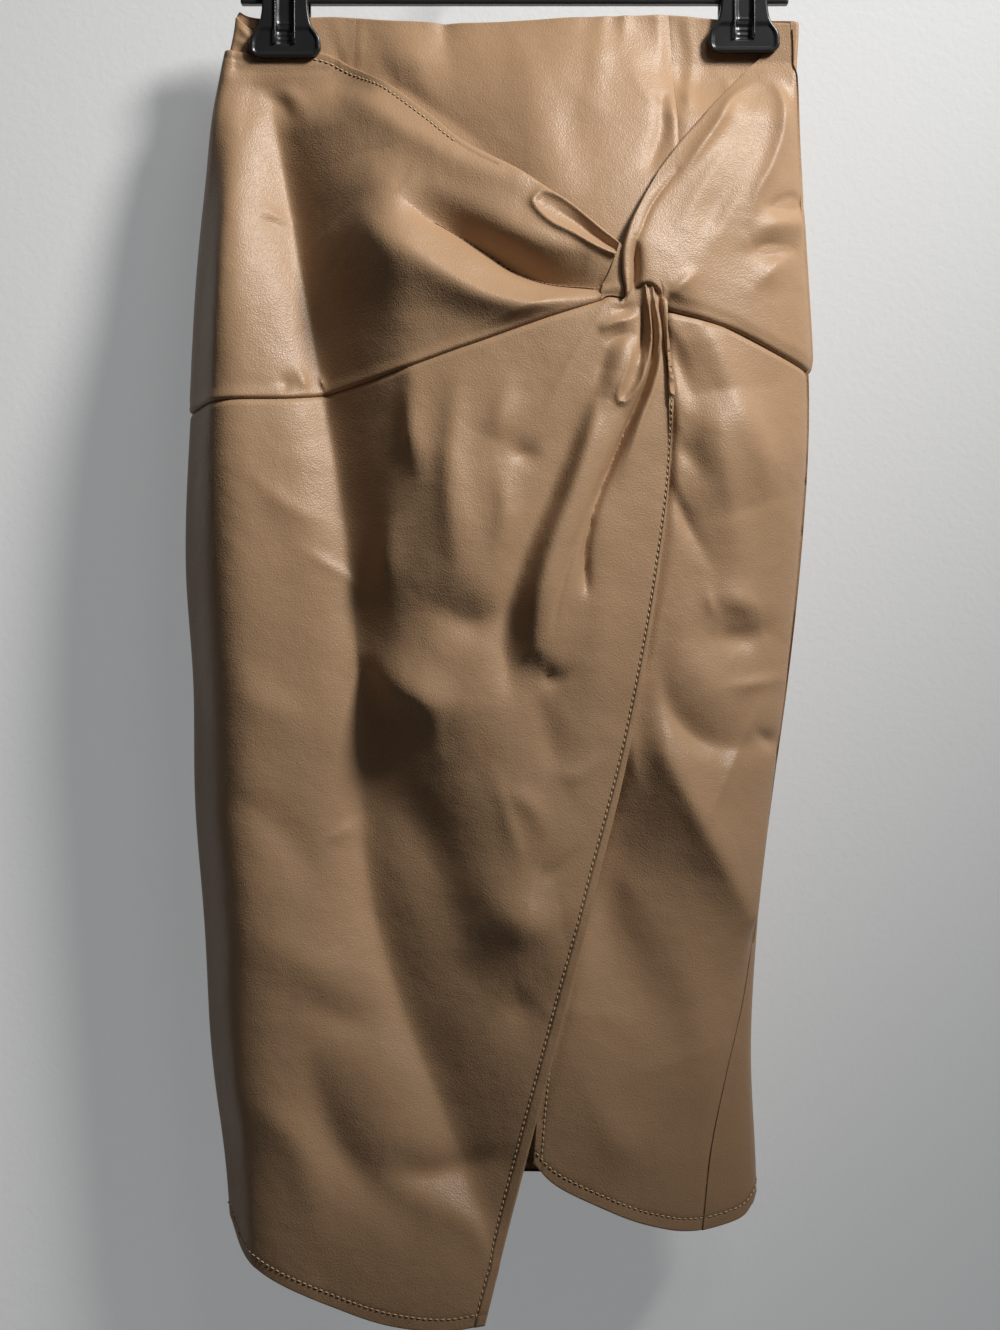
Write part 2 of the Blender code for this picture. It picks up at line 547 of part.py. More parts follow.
def make_underlap(finish):
    columns, rows = GRIDS["front_underlap"]
    u, v = spaced(columns), np.linspace(0, 1, rows + 1)
    top = front_edge([(UNDERLAP_EDGE[0], (0.0985, 0.1885)), HIP_SEAM_RIGHT[1:]], u)
    bottom = front_edge([UNDERLAP_HEM], u)
    left = front_edge([UNDERLAP_EDGE], v)
    right = side_seam((HIP_SEAM_RIGHT[-1][1], UNDERLAP_HEM[-1][1]), v, right=True)
    top[-1], bottom[-1] = right[0], right[-1]
    places = drawn_in(filled(top, bottom, left, right, u, v), SIDE_GAP)
    near = edge_distances(places)
    lift = underlap_lift(across_of(places), places[..., 1]) * smooth(near["right"] / 0.012)
    cloth("front_underlap", places, lift - seam_dip(near, "top", "right"), finish)


def make_back(finish):
    """One panel from side seam to side seam. On the right it starts on the front of the tube,
    and below the hip seam its rows meet the underlap's."""
    columns, rows = GRIDS["back"]
    shares = [np.linspace(0, 1, BACK_ROUND_SIDE + 1), spaced(columns - BACK_ROUND_SIDE)]
    lower_rows = GRIDS["front_underlap"][1]
    hip = HIP_SEAM_RIGHT[-1][1]
    upper = side_seam((WAIST_TOP[-1][1], hip), from_waist(rows - lower_rows), right=True)
    lower = side_seam((hip, BACK_HEM[0][1]), np.linspace(0, 1, lower_rows + 1), right=True)
    left = np.concatenate([upper, lower[1:]])
    v = (left[:, 1] - left[0, 1]) / (left[-1, 1] - left[0, 1])
    turn = along_edge(np.full(200, 90.0), np.linspace(0.0, BACK_HEM_AT_SIDE, 200), v)
    right = side_seam((BACK_TOP[-1][1], BACK_HEM[-1][1]), v, right=False) + np.array([360.0, 0.0])
    patches = []
    for u, (near, far) in zip(shares, ((left, turn), (turn, right))):
        edges = []
        for end, curve in ((0, BACK_TOP), (-1, BACK_HEM)):
            degrees, drops = dense(curve)
            kept = (degrees >= near[end, 0]) & (degrees <= far[end, 0])
            edge = along_edge(degrees[kept], drops[kept], u)
            edge[0], edge[-1] = near[end], far[end]
            edges.append(edge)
        patches.append(filled(*edges, near, far, u, v))
    places = drawn_in(np.concatenate([patches[0], patches[1][:, 1:]], axis=1), SIDE_GAP)
    across, drop = across_of(places), places[..., 1]
    near = edge_distances(places)
    side = smooth(np.minimum(near["left"], near["right"]) / 0.020)
    lift = fold_lift(BACK_FOLDS, across, drop) * side * (1 - closed_by_clips(across, drop))
    cloth("back", places, lift - seam_dip(near, "right"), finish)


def jaw_outline(clip):
    """A jaw seen from the front, as (x, z) round it: a stadium pad below a neck."""
    middle, low = clip["across"] - HOOK_ACROSS, height(clip["low"])
    radius = PAD_TALL / 2
    reach = PAD_WIDE / 2 - radius
    shoulder = low + radius + math.sqrt(radius**2 - (NECK_WIDE / 2 - reach) ** 2)
    half = []
    for angle in np.radians(np.linspace(-90, 60, 6)):
        half.append((reach + radius * math.cos(angle), low + radius + radius * math.sin(angle)))
    half += [(NECK_WIDE / 2, shoulder), (NECK_WIDE / 2, height(BAR_LOW - BAR_TALL))]
    return [(middle + x, z) for x, z in half] + [(middle - x, z) for x, z in half[::-1]]


def plate(name, outline, near, far, finish, rim=None):
    """An outline in x and z made solid from y near to y far, with a raised rim on its near face."""
    bm = bmesh.new()
    face = bm.faces.new([bm.verts.new((x, far, z)) for x, z in outline])
    face.normal_update()
    grown = bmesh.ops.extrude_face_region(bm, geom=[face])
    moved = [item for item in grown["geom"] if isinstance(item, bmesh.types.BMVert)]
    bmesh.ops.translate(bm, verts=moved, vec=(0.0, near - far, 0.0))
    bmesh.ops.recalc_face_normals(bm, faces=bm.faces)
    if rim:
        front = [item for item in grown["geom"] if isinstance(item, bmesh.types.BMFace)]
        bmesh.ops.inset_region(bm, faces=front, thickness=RIM_WIDE, depth=0.0, use_even_offset=True)
        bmesh.ops.inset_region(bm, faces=front, thickness=RIM_SLOPE, depth=-rim, use_even_offset=True)
    return add_object(name, bm, finish)


def make_hanger(plastic, steel):
    """A flat bar with two spring clips and a plain hook."""
    front_in = -(PINCHED_DEPTH + GRIPPED_LAYER + JAW_CLEAR)
    rear_in = PINCHED_DEPTH + JAW_CLEAR
    front_out, rear_out = front_in - JAW_THICK, rear_in + JAW_THICK
    middles = [clip["across"] - HOOK_ACROSS for clip in CLIPS.values()]
    low, top = height(BAR_LOW), height(BAR_LOW - BAR_TALL)
    for side, clip in CLIPS.items():
        outline = jaw_outline(clip)
        plate(f"clip_{side}_front_jaw", outline, front_out, front_in, plastic, rim=PAD_RIM)
        plate(f"clip_{side}_rear_jaw", outline, rear_out, rear_in, plastic)
        middle, foot = clip["across"] - HOOK_ACROSS, height(clip["low"]) + PAD_TALL - SPRING_ON_PAD
        inner = [(front_out - PART_GAP, foot), (front_out - PART_GAP, top + PART_GAP),
                 (rear_out + PART_GAP, top + PART_GAP), (rear_out + PART_GAP, foot)]
        outer = [(rear_out + PART_GAP + SPRING_THICK, foot),
                 (rear_out + PART_GAP + SPRING_THICK, top + PART_GAP + SPRING_THICK),
                 (front_out - PART_GAP - SPRING_THICK, top + PART_GAP + SPRING_THICK),
                 (front_out - PART_GAP - SPRING_THICK, foot)]
        bm = bmesh.new()
        face = bm.faces.new([bm.verts.new((middle - SPRING_WIDE / 2, y, z)) for y, z in inner + outer])
        grown = bmesh.ops.extrude_face_region(bm, geom=[face])
        moved = [item for item in grown["geom"] if isinstance(item, bmesh.types.BMVert)]
        bmesh.ops.translate(bm, verts=moved, vec=(SPRING_WIDE, 0.0, 0.0))
        add_object(f"clip_{side}_spring", bm, steel)

    bm = bmesh.new()
    bmesh.ops.create_cube(bm, size=1.0)
    length = middles[1] - middles[0] + 2 * BAR_OVERHANG
    thick = rear_in - front_in - 2 * PART_GAP
    bmesh.ops.scale(bm, vec=(length, thick, BAR_TALL - PART_GAP), verts=bm.verts)
    centre = (sum(middles) / 2, (front_in + rear_in) / 2, (low + top - PART_GAP) / 2)
    bmesh.ops.translate(bm, vec=centre, verts=bm.verts)
    bmesh.ops.bevel(bm, geom=bm.edges[:], offset=0.0012, segments=2, profile=0.5, affect="EDGES", material=-1)
    add_object("hanger_bar", bm, plastic)

    radius = HOOK_INNER_RADIUS + HOOK_WIRE / 2
    start = math.radians(HOOK_START)
    arc_start = np.array([radius * math.cos(start), -HOOK_INNER_RADIUS + radius * math.sin(start)])
    heading = np.array([-math.sin(start), math.cos(start)])
    foot = np.array([0.0, top + PART_GAP])
    neck = np.array([0.0, arc_start[1] - 0.022])
    route = [foot, (foot + neck) / 2]
    for t in np.linspace(0.0, 1.0, 9)[:-1]:
        a, b = neck + np.array([0.0, 0.014]), arc_start - heading * 0.014
        near_neck = (1 - t) ** 3 * neck + 3 * t * (1 - t) ** 2 * a
        route.append(near_neck + 3 * t * t * (1 - t) * b + t**3 * arc_start)
    for angle in np.radians(np.linspace(HOOK_START, HOOK_OPENING, 25)):
        route.append(np.array([radius * math.cos(angle), -HOOK_INNER_RADIUS + radius * math.sin(angle)]))
    curve = bpy.data.curves.new("hanger_hook", "CURVE")
    curve.dimensions = "3D"
    curve.bevel_depth = HOOK_WIRE / 2
    curve.bevel_resolution = 3
    curve.use_fill_caps = True
    spline = curve.splines.new("POLY")
    spline.points.add(len(route) - 1)
    for point, (x, z) in zip(spline.points, route):
        point.co = (x, (front_in + rear_in) / 2, z, 1.0)
    curve.materials.append(steel)
    hook = bpy.data.objects.new("hanger_hook", curve)
    bpy.context.scene.collection.objects.link(hook)


def main():
    for leftover in list(bpy.data.objects):
        bpy.data.objects.remove(leftover)
    leather = material("tan faux leather", (0.42, 0.26, 0.155), 0.42)
    plastic = material("black plastic", (0.018, 0.018, 0.019), 0.38)
    steel = material("dark spring steel", (0.16, 0.16, 0.17), 0.3, metallic=1.0)
    make_waist_front(leather)
    make_drapes(leather)
    make_tuck(leather)
    make_overlap(leather)
    make_underlap(leather)
    make_back(leather)
    make_hanger(plastic, steel)


main()
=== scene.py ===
# %% [markdown]
# # A twist-front midi skirt in faux leather, on a clip hanger
# The real skirt is nine cut pieces of coated cloth: three fitted panels at the waist, two
# drapes that cross in a twist, a long lower front that wraps over a shorter one, a narrow
# band inside the twist, and a back. It hangs from a black hanger whose two clips pinch it flat.
#
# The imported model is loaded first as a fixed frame. Its solids have the right size and
# place, but they are coarse. So each cloth solid is replaced by a finer shell of the same
# form, and the clips' front jaws and springs get finer shapes too. Everything is in metres,
# +Z up, and the origin is where the hook bears on its rail.

# %% Load the frame
import json
import math

import bmesh
import bpy
import numpy as np
from mathutils import Matrix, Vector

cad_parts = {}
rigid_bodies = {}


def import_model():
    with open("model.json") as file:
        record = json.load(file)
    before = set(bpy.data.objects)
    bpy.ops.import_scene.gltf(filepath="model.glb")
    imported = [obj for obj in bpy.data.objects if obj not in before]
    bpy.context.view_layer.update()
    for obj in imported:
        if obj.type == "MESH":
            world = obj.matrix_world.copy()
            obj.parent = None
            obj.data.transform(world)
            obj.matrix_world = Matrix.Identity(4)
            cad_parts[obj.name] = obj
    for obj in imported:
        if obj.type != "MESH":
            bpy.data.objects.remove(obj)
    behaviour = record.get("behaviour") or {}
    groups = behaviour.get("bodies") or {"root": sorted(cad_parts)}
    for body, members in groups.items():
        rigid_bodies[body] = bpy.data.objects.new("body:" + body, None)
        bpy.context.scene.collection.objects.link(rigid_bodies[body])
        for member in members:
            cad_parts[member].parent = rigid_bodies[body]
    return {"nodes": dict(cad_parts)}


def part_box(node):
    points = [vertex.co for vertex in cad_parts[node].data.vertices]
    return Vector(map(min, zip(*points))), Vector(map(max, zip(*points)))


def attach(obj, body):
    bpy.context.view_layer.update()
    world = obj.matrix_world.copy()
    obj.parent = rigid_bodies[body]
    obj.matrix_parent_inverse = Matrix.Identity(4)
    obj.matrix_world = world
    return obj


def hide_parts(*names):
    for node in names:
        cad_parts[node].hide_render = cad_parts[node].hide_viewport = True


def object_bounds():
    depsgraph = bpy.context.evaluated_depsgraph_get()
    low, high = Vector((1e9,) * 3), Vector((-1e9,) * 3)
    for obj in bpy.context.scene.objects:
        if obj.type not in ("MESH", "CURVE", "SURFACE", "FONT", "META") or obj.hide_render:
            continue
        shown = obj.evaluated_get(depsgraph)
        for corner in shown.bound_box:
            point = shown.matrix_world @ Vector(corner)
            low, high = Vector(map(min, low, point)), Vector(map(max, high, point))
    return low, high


for leftover in list(bpy.data.objects):
    bpy.data.objects.remove(leftover)
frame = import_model()
cad_low, cad_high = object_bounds()
print("frame:", sorted(frame["nodes"]))

# %% [markdown]
# ## The skirt's own coordinates
# A pattern maker marks a place on the front by how far across it is from the middle and
# how far below the waist it drops. Those two numbers place every seam and fold here. Cloth
# could be sculpted by hand, but a form worked out from sections stays true to the solids,
# so the same few tables as theirs are used, read more closely. Tables are in millimetres,
# as on a pattern.

# %% Driving sizes
HOOK_TO_WAIST = 0.125  # the rail's bearing point down to the waist line
HOOK_ACROSS = 0.009  # the hook's x, measured from the middle of the garment
WALL = 0.0012  # thickness of the coated cloth
SEAM_GAP = 0.0001  # between pieces sewn edge to edge
SIDE_GAP = 0.0004  # between the back and the fronts
SEAM_DIP = 0.0014  # how far cloth sinks along a seam
SEAM_REACH = 0.0042  # how far from the seam it starts to sink
SIDE_RADIUS = 0.0040  # how round the tube turns at its flattened sides
LENS_POWER = 0.62  # 0.5 makes the sections ellipses, 1 makes them sharper lenses
PINCHED_DEPTH = 0.0022  # from the hanger's plane to the cloth's outer face inside a clip
FLAT_ROUND_CLIP = 0.0070  # the cloth stays flat this far past a clip's pad
OPENS_OVER = 0.0420  # and opens out to the full tube over this length
GRIPPED_LAYER = 0.0022  # how far the drapes lie out from the waist panels inside a clip
DRAPE_LAYER = 0.0030  # and past it
OVERLAP_LAYER = 0.0032  # how far the overlap lies out from the underlap
TUCKED = 0.0120  # the waist panels end this far above the hip seam, inside the drapes
SUNK = 0.0020  # how much deeper the waist panels lie where the drapes cover them
SUNK_BY = 0.0900  # and the drop by which they do
FOLDS_FROM_SIDE = 0.0200  # the tube's folds start at its sides and are full this far in
CALM_AT_SIDE = 0.0120  # and a front piece's own folds are full this far from its side seam
TOP_ROUND, TOP_SHARE = 0.0011, 0.6  # how round the waist's top edge is turned, and how deep
HEM_ROUND = 0.0012  # how round hems and the wrap's edge are turned
FAR = 1.0  # a distance that means there is no such edge near
CLIPS = {"left": {"across": -0.133, "low": 0.0225}, "right": {"across": 0.151, "low": 0.0195}}
PAD_WIDE = 0.0450  # a clip's pad


def metres(*rows):
    """Rows of millimetres as an array in metres."""
    return np.array(rows) / 1000


SECTION_COLUMNS = ("drop", "centre", "half_width", "front_depth", "back_depth")
SECTIONS = metres(
    (-10, 10.5, 174.5, 6, 5.5),
    (0, 10.5, 175.2, 6.2, 5.8),
    (30, 7, 177.5, 18, 15),
    (60, 3.5, 179.5, 31, 23.5),
    (100, 2, 182, 45, 32),
    (150, 1, 186, 56, 39.5),
    (240, 0.5, 190.5, 64, 45),
    (340, -4, 189.3, 65, 45),
    (410, -5.5, 183.2, 63, 43),
    (485, -10, 177.6, 60, 41),
    (560, -11.2, 170.6, 57, 38.5),
    (635, -11.2, 166.6, 53.5, 37),
    (710, -5, 163.8, 50.5, 36),
    (810, -1, 162.8, 48, 35),
)
print("skirt from", round(cad_low.z, 3), "to", round(cad_high.z, 3))

# %% [markdown]
# ## Smooth curves through a few named values
# A tape of sizes has only a few marks, and the cloth between them is smooth. A cubic curve
# through the marks gives it, and unlike a spline object it can be read at a whole grid of
# places at once.

# %% Curves


def interpolate(places, values, at):
    """A smooth curve through values at places, read at an array of places."""
    places, values = np.asarray(places, float), np.asarray(values, float)
    slopes = np.gradient(values, places)
    at = np.clip(at, places[0], places[-1])
    low = np.clip(np.searchsorted(places, at) - 1, 0, len(places) - 2)
    span = places[low + 1] - places[low]
    t = (at - places[low]) / span
    rise = values[low + 1] - values[low]
    near, far = slopes[low] * span, slopes[low + 1] * span
    return values[low] + t * (near + t * (3 * rise - 2 * near - far + t * (near + far - 2 * rise)))


def read(at, places, *rows):
    """Rows of values at places, read straight between them: one column for each row."""
    return np.stack([np.interp(at, places, row) for row in rows], axis=-1)


def smooth(t):
    """0 up to t = 0, 1 from t = 1, and a soft step between."""
    t = np.clip(t, 0.0, 1.0)
    return t * t * (3 - 2 * t)


def step(value, start, over):
    """A soft step from 0 to 1 as the value goes past start, or from 1 to 0 where over is below 0."""
    return smooth((value - start) / over)


def section(column, drop):
    """One named column of SECTIONS at an array of drops."""
    return interpolate(SECTIONS[:, 0], SECTIONS[:, SECTION_COLUMNS.index(column)], drop)


def height(drop):
    """The z of a drop."""
    return -(HOOK_TO_WAIST + drop)


print("hip width", round(2 * float(section("half_width", np.array(0.24))), 3))

# %% [markdown]
# ## Folds
# A fold in coated cloth is a soft ridge or trough that follows a path, wider where the
# cloth hangs free and narrow where it is caught in a seam. They could be modelled one face at
# a time, or left to a cloth simulation, but a simulation can't be told which folds to make.
# So each one is a row in millimetres: its marks, each an across, a drop and a lift, and then
# its shape. The shape is its half width at both ends, how many times wider its right side
# is, and how round its crest is.

# %% Fold profile
FADES = (3.2, 4.4)  # a fold fades out between these many half widths from its crest
STEPS = 8  # straight steps between two of a fold's marks
LEAST_SOFT = 0.05


def fold_lift(folds, across, drop):
    """How far the folds together lift the cloth at arrays of places."""
    total = np.zeros(np.broadcast(across, drop).shape)
    for marks, (*wide, lean, soft) in folds:
        marks, wide, soft = metres(*marks).reshape(-1, 3), metres(*wide), soft + LEAST_SOFT
        places = range(len(marks))
        steps = np.linspace(0.0, places[-1], STEPS * places[-1] + 1)
        path_across, path_drop = (interpolate(places, marks[:, k], steps) for k in (0, 1))
        reach = FADES[1] * max(wide) * max(1.0, lean)
        near = (across > path_across.min() - reach) & (across < path_across.max() + reach)
        near &= (drop > path_drop.min() - reach) & (drop < path_drop.max() + reach)
        a, d = across[near], drop[near]
        best, along, side = np.full_like(a, np.inf), np.zeros_like(a), np.zeros_like(a)
        for i in range(len(steps) - 1):
            step_a, step_d = path_across[i + 1] - path_across[i], path_drop[i + 1] - path_drop[i]
            from_a, from_d = a - path_across[i], d - path_drop[i]
            t = np.clip((from_a * step_a + from_d * step_d) / (step_a**2 + step_d**2), 0.0, 1.0)
            gap = np.hypot(from_a - t * step_a, from_d - t * step_d)
            nearer = gap < best
            best = np.where(nearer, gap, best)
            along = np.where(nearer, steps[i] + t * (steps[i + 1] - steps[i]), along)
            turned = (from_a * step_d - from_d * step_a) / (math.hypot(step_a, step_d) * (gap + 1e-9))
            side = np.where(nearer, turned, side)
        leaned = 1 + (lean - 1) * np.clip(side, 0.0, 1.0)
        away = best / (np.interp(along, (0.0, places[-1]), wide) * leaned)
        crest = np.exp(-(np.hypot(away, soft) - soft) * (1 + soft))
        crest *= 1 - smooth((away - FADES[0]) / (FADES[1] - FADES[0]))
        total[near] += interpolate(places, marks[:, 2], along) * crest
    return total


TUBE_FOLDS = (  # of the whole front, which every layer follows
    ((-167, 65, 2,  -168, 140, 13,  -168, 250, 15,  -161, 420, 14,  -152, 600, 12,  -147, 790, 9),
     (13, 30, 1.2, 1)),
    ((-141, 44, -13,  -128, 120, -26,  -106, 235, -26,  -90, 330, -22,  -81, 430, -19,  -80, 520, -21,
      -60, 600, -20,  -28, 680, -18,  0, 760, -8), (22, 29, 1.7, 0.22)),
    ((-40, 240, 3,  -24, 330, 6,  -16, 430, 4,  10, 540, 2), (34, 40, 1, 1)),
    ((-60, 250, 1,  -58, 320, 5,  -56, 400, 5,  -48, 465, 1), (18, 20, 2.2, 0.8)),
    ((-74, 90, 1,  -68, 125, 7,  -60, 170, 6,  -58, 225, 2), (21, 20, 1, 1)),
    ((-61, 119, -1,  -48, 131.5, -6.6,  -27, 144, -12.5,  -7, 157, -15.5,  9, 167, -15.5,  29, 174, -13,
      56, 177, -6.6), (6.8, 5.2, 2.6, 0.55)),
)
print(len(TUBE_FOLDS), "folds shape the whole front")

# %% [markdown]
# ## The tube
# Hung from two clips, the skirt is a flattened tube: two shallow curved faces that meet
# at tight side turns, and pinched flat between each clip's jaws. A tube could be lofted
# from drawn sections, but here depth is a formula of the section sizes, so the clips and
# the great folds can act on it before any cloth is laid on.

# %% Tube formula


def closed_by_clips(across, drop):
    """How strongly the clips close the tube, from 0 to 1."""
    closed = np.zeros_like(drop)
    for clip in CLIPS.values():
        beside = np.maximum(np.abs(across - clip["across"]) - PAD_WIDE / 2 - FLAT_ROUND_CLIP, 0.0)
        below = np.maximum(drop - clip["low"] - FLAT_ROUND_CLIP, 0.0)
        closed = np.maximum(closed, 1 - smooth(np.hypot(beside, below) / OPENS_OVER))
    return closed


def form(degrees, drop):
    """The bare tube: points at arrays of degrees round from the front and of drops."""
    angle = np.radians(degrees)
    half = section("half_width", drop)
    across = section("centre", drop) + half * np.sin(angle)
    front = np.cos(angle) > 0
    closed = closed_by_clips(across, drop)
    depth = np.where(front, section("front_depth", drop), section("back_depth", drop))
    depth = depth * (1 - closed) + PINCHED_DEPTH * closed
    radius = np.minimum(SIDE_RADIUS, depth)
    from_side = half * (1 - np.abs(np.sin(angle)))
    rim = np.clip(from_side / radius, 0.0, 1.0)
    share = np.clip(from_side / half, 0.0, 1.0)
    away = radius * np.sqrt(rim * (2 - rim)) + (depth - radius) * (share * (2 - share)) ** LENS_POWER
    folds = fold_lift(TUBE_FOLDS, across, drop) * front * smooth(from_side / FOLDS_FROM_SIDE)
    away += folds * np.sqrt(1 - closed)
    return np.stack([across - HOOK_ACROSS, np.where(front, -away, away), height(drop)], axis=-1)


def outward(degrees, drop):
    """Unit normals of the bare tube, pointing out of it."""
    step_round, step_down = 0.3, 0.0006
    round_it = form(degrees + step_round, drop) - form(degrees - step_round, drop)
    down_it = form(degrees, drop + step_down) - form(degrees, drop - step_down)
    normal = np.cross(down_it, round_it)
    return normal / np.linalg.norm(normal, axis=-1, keepdims=True)


def degrees_at(across, drop):
    """Degrees round from the front of a point on the front half."""
    share = (across - section("centre", drop)) / section("half_width", drop)
    return np.degrees(np.arcsin(np.clip(share, -1.0, 1.0)))


def across_of(places):
    """The across of (degrees, drop) places."""
    turned = np.sin(np.radians(places[..., 0]))
    return section("centre", places[..., 1]) + section("half_width", places[..., 1]) * turned


print("belly stands out", round(-float(form(np.array(0.0), np.array(0.3))[1]), 3))

# %% [markdown]
# ## Cut edges
# Each piece of a pattern is four edges. The seams and hems here are smooth curves through
# (across, drop) places, or (degrees, drop) where they run round the side. A piece's grid
# is filled in between its four edges, as a patch of cloth is when it is pinned along them.

# %% Edges and patches
LEFT_SIDE = -90.0
DENSE = 400  # places that stand for a smooth curve
ROUNDED = (14.0, 0.006)  # how much closer the grid lines lie at an edge that is rounded


def round_places(*rows):
    """Rows of degrees round from the front and millimetres of drop."""
    return np.array(rows) / (1, 1000)


SIDE_SEAM_RIGHT = round_places(
    (75, 0), (79, 25), (82, 74), (83, 150), (83, 520), (80.5, 560), (74, 606.4), (65.5, 642.6),
    (55.6, 692.5), (50.8, 743.8),
)


def shares(count, *closer):
    """count + 1 shares from 0 to 1, packed closer round each (place, how much, reach)."""
    t = np.linspace(0.0, 1.0, 2001)
    density = np.ones_like(t)
    for place, more, reach in closer:
        density += more * np.exp(-np.abs(t - place) / reach)
    gone = np.concatenate([[0.0], np.cumsum((density[1:] + density[:-1]) / 2)])
    return np.interp(np.linspace(0.0, gone[-1], count + 1), gone, t)


def both_ends(count, *closer):
    """Shares that lie closer at two rounded edges."""
    return shares(count, (0.0, *ROUNDED), (1.0, *ROUNDED), *closer)


def lengths_along(points):
    """How far along a line of points each one is."""
    return np.concatenate([[0.0], np.cumsum(np.linalg.norm(np.diff(points, axis=0), axis=-1))])


def along_edge(degrees, drops, at_shares):
    """Places on an edge, given densely, at shares of its length on the tube."""
    lengths = lengths_along(form(degrees, drops))
    return read(at_shares * lengths[-1], lengths, degrees, drops)


def dense(curve):
    """A smooth curve through (a, b) rows, as two arrays of values."""
    rows = np.array(curve)
    lengths = lengths_along(rows / np.ptp(rows, axis=0).clip(1e-9))
    at = np.linspace(0.0, lengths[-1], DENSE)
    return interpolate(lengths, rows[:, 0], at), interpolate(lengths, rows[:, 1], at)


def across_at(curve, drop):
    """How far across, or how far round, a curve is at an array of drops."""
    return interpolate(curve[:, 1], curve[:, 0], drop)


def front_edge(at_shares, *curves):
    """Places of (degrees, drop) along front curves that follow each other."""
    across, drops = (np.concatenate(parts) for parts in zip(*(dense(curve) for curve in curves)))
    return along_edge(degrees_at(across, drops), drops, at_shares)


def side_seam(drop_range, at_shares, right):
    """Places along the right or the left side seam, over a range of drops."""
    drops = np.linspace(*drop_range, DENSE)
    if not right:
        return along_edge(np.full_like(drops, LEFT_SIDE), drops, at_shares)
    return along_edge(across_at(SIDE_SEAM_RIGHT, drops), drops, at_shares)


def filled(top, bottom, left, right, across_shares, down_shares):
    """The places inside four edges that meet at their corners: a Coons patch, rows down."""
    u, v = across_shares[None, :, None], down_shares[:, None, None]
    return (
        (1 - v) * top[None] + v * bottom[None] + (1 - u) * left[:, None] + u * right[:, None]
        - (1 - u) * (1 - v) * (top[0] + left[0]) / 2 - u * (1 - v) * (top[-1] + right[0]) / 2
        - (1 - u) * v * (bottom[0] + left[-1]) / 2 - u * v * (bottom[-1] + right[-1]) / 2
    )


def drawn_in(places, gap):
    """The patch made smaller by gap along its four edges, measured on the tube."""
    points = form(places[..., 0], places[..., 1])
    result = places.copy()
    every = slice(None)
    for edge, inner in (((0,), (1,)), ((-1,), (-2,)), ((every, 0), (every, 1)), ((every, -1), (every, -2))):
        reach = np.linalg.norm(points[inner] - points[edge], axis=-1)[..., None]
        result[edge] += (places[inner] - places[edge]) * np.clip(gap / reach, 0.0, 0.4)
    return result


def edge_distances(places):
    """How far each place of a patch is from its top, bottom, left and right edges."""
    points = form(places[..., 0], places[..., 1])
    distances = {}
    for axis, names in ((0, ("top", "bottom")), (1, ("left", "right"))):
        steps = np.linalg.norm(np.diff(points, axis=axis), axis=-1)
        start = np.zeros_like(np.take(places[..., 0], [0], axis=axis))
        gone = np.concatenate([start, np.cumsum(steps, axis=axis)], axis=axis)
        distances[names[0]] = gone
        distances[names[1]] = np.take(gone, [-1], axis=axis) - gone
    return distances


def measured(places, gap):
    """A patch drawn in by a gap, with its edge distances, acrosses and drops."""
    places = drawn_in(places, gap)
    return places, edge_distances(places), across_of(places), places[..., 1]


def seam_dip(distances, *edges):
    """How far seams along the named edges pull the cloth in, deepest right at the seam."""
    nearest = np.minimum.reduce([distances[edge] for edge in edges])
    return SEAM_DIP * np.maximum(1 - nearest / SEAM_REACH, 0.0) ** 1.6


def rounded(distance, radius):
    """How far an edge that is turned under sinks, as a quarter of a circle."""
    inside = 1 - np.clip(distance / radius, 0.0, 1.0)
    return radius * (1 - np.sqrt(np.maximum(1 - inside**2, 0.0)))


print("the right side seam has", len(SIDE_SEAM_RIGHT), "marks")

# %% [markdown]
# ## The cloth wall
# Coated cloth is thin and has two faces. A single sheet would look right from outside
# only, and a Solidify modifier thickens steep folds unevenly. Here one flat grid gets its
# wall from the solidify operator, and then every point is carried to its place: the outer
# face onto the form, the inner one straight behind it. Turned edges are thicker, because
# there the cloth is folded back and stitched down.

# %% Wall builder
TURNED_WALL = 0.0019  # where the cloth is folded back on itself
TURNED_WIDE = 0.0085
SHARP_PAST = math.radians(60)
ATTRIBUTE = "from_stitch"
leather = {}


def placed(name, data, place=(0.0, 0.0, 0.0)):
    """An object for a mesh, a lamp or a camera, in the scene at a place."""
    obj = bpy.data.objects.new(name, data)
    bpy.context.scene.collection.objects.link(obj)
    obj.location = place
    return obj


def object_from(bm, name, finish):
    """A smooth-shaded object at the origin, with one finish, from a bmesh that is then freed."""
    mesh = bpy.data.meshes.new(name)
    bm.to_mesh(mesh)
    bm.free()
    mesh.shade_smooth()
    mesh.materials.append(finish)
    return placed(name, mesh)


def piece(bm, name, finish, stands_for=()):
    """A piece of the part, on its one body. It may stand for a solid."""
    obj = object_from(bm, name, finish)
    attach(obj, "root")
    if stands_for:
        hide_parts(stands_for)
    print(name, len(obj.data.polygons), "faces")
    return obj


def wall_points(places, lift, turned):
    """The outer and inner points of a piece, and the outer normals."""
    degrees, drop = places[..., 0], places[..., 1]
    bare = outward(degrees, drop)
    outer = form(degrees, drop) + bare * lift[..., None]
    normals = np.cross(np.gradient(outer, axis=0), np.gradient(outer, axis=1))
    normals /= np.linalg.norm(normals, axis=-1, keepdims=True)
    for edge in ((0,), (-1,), (slice(None), 0), (slice(None), -1)):
        normals[edge] = bare[edge]
    thick = WALL + (TURNED_WALL - WALL) * (1 - smooth(turned / TURNED_WIDE * 4 - 3))
    return outer, outer - normals * thick[..., None], normals


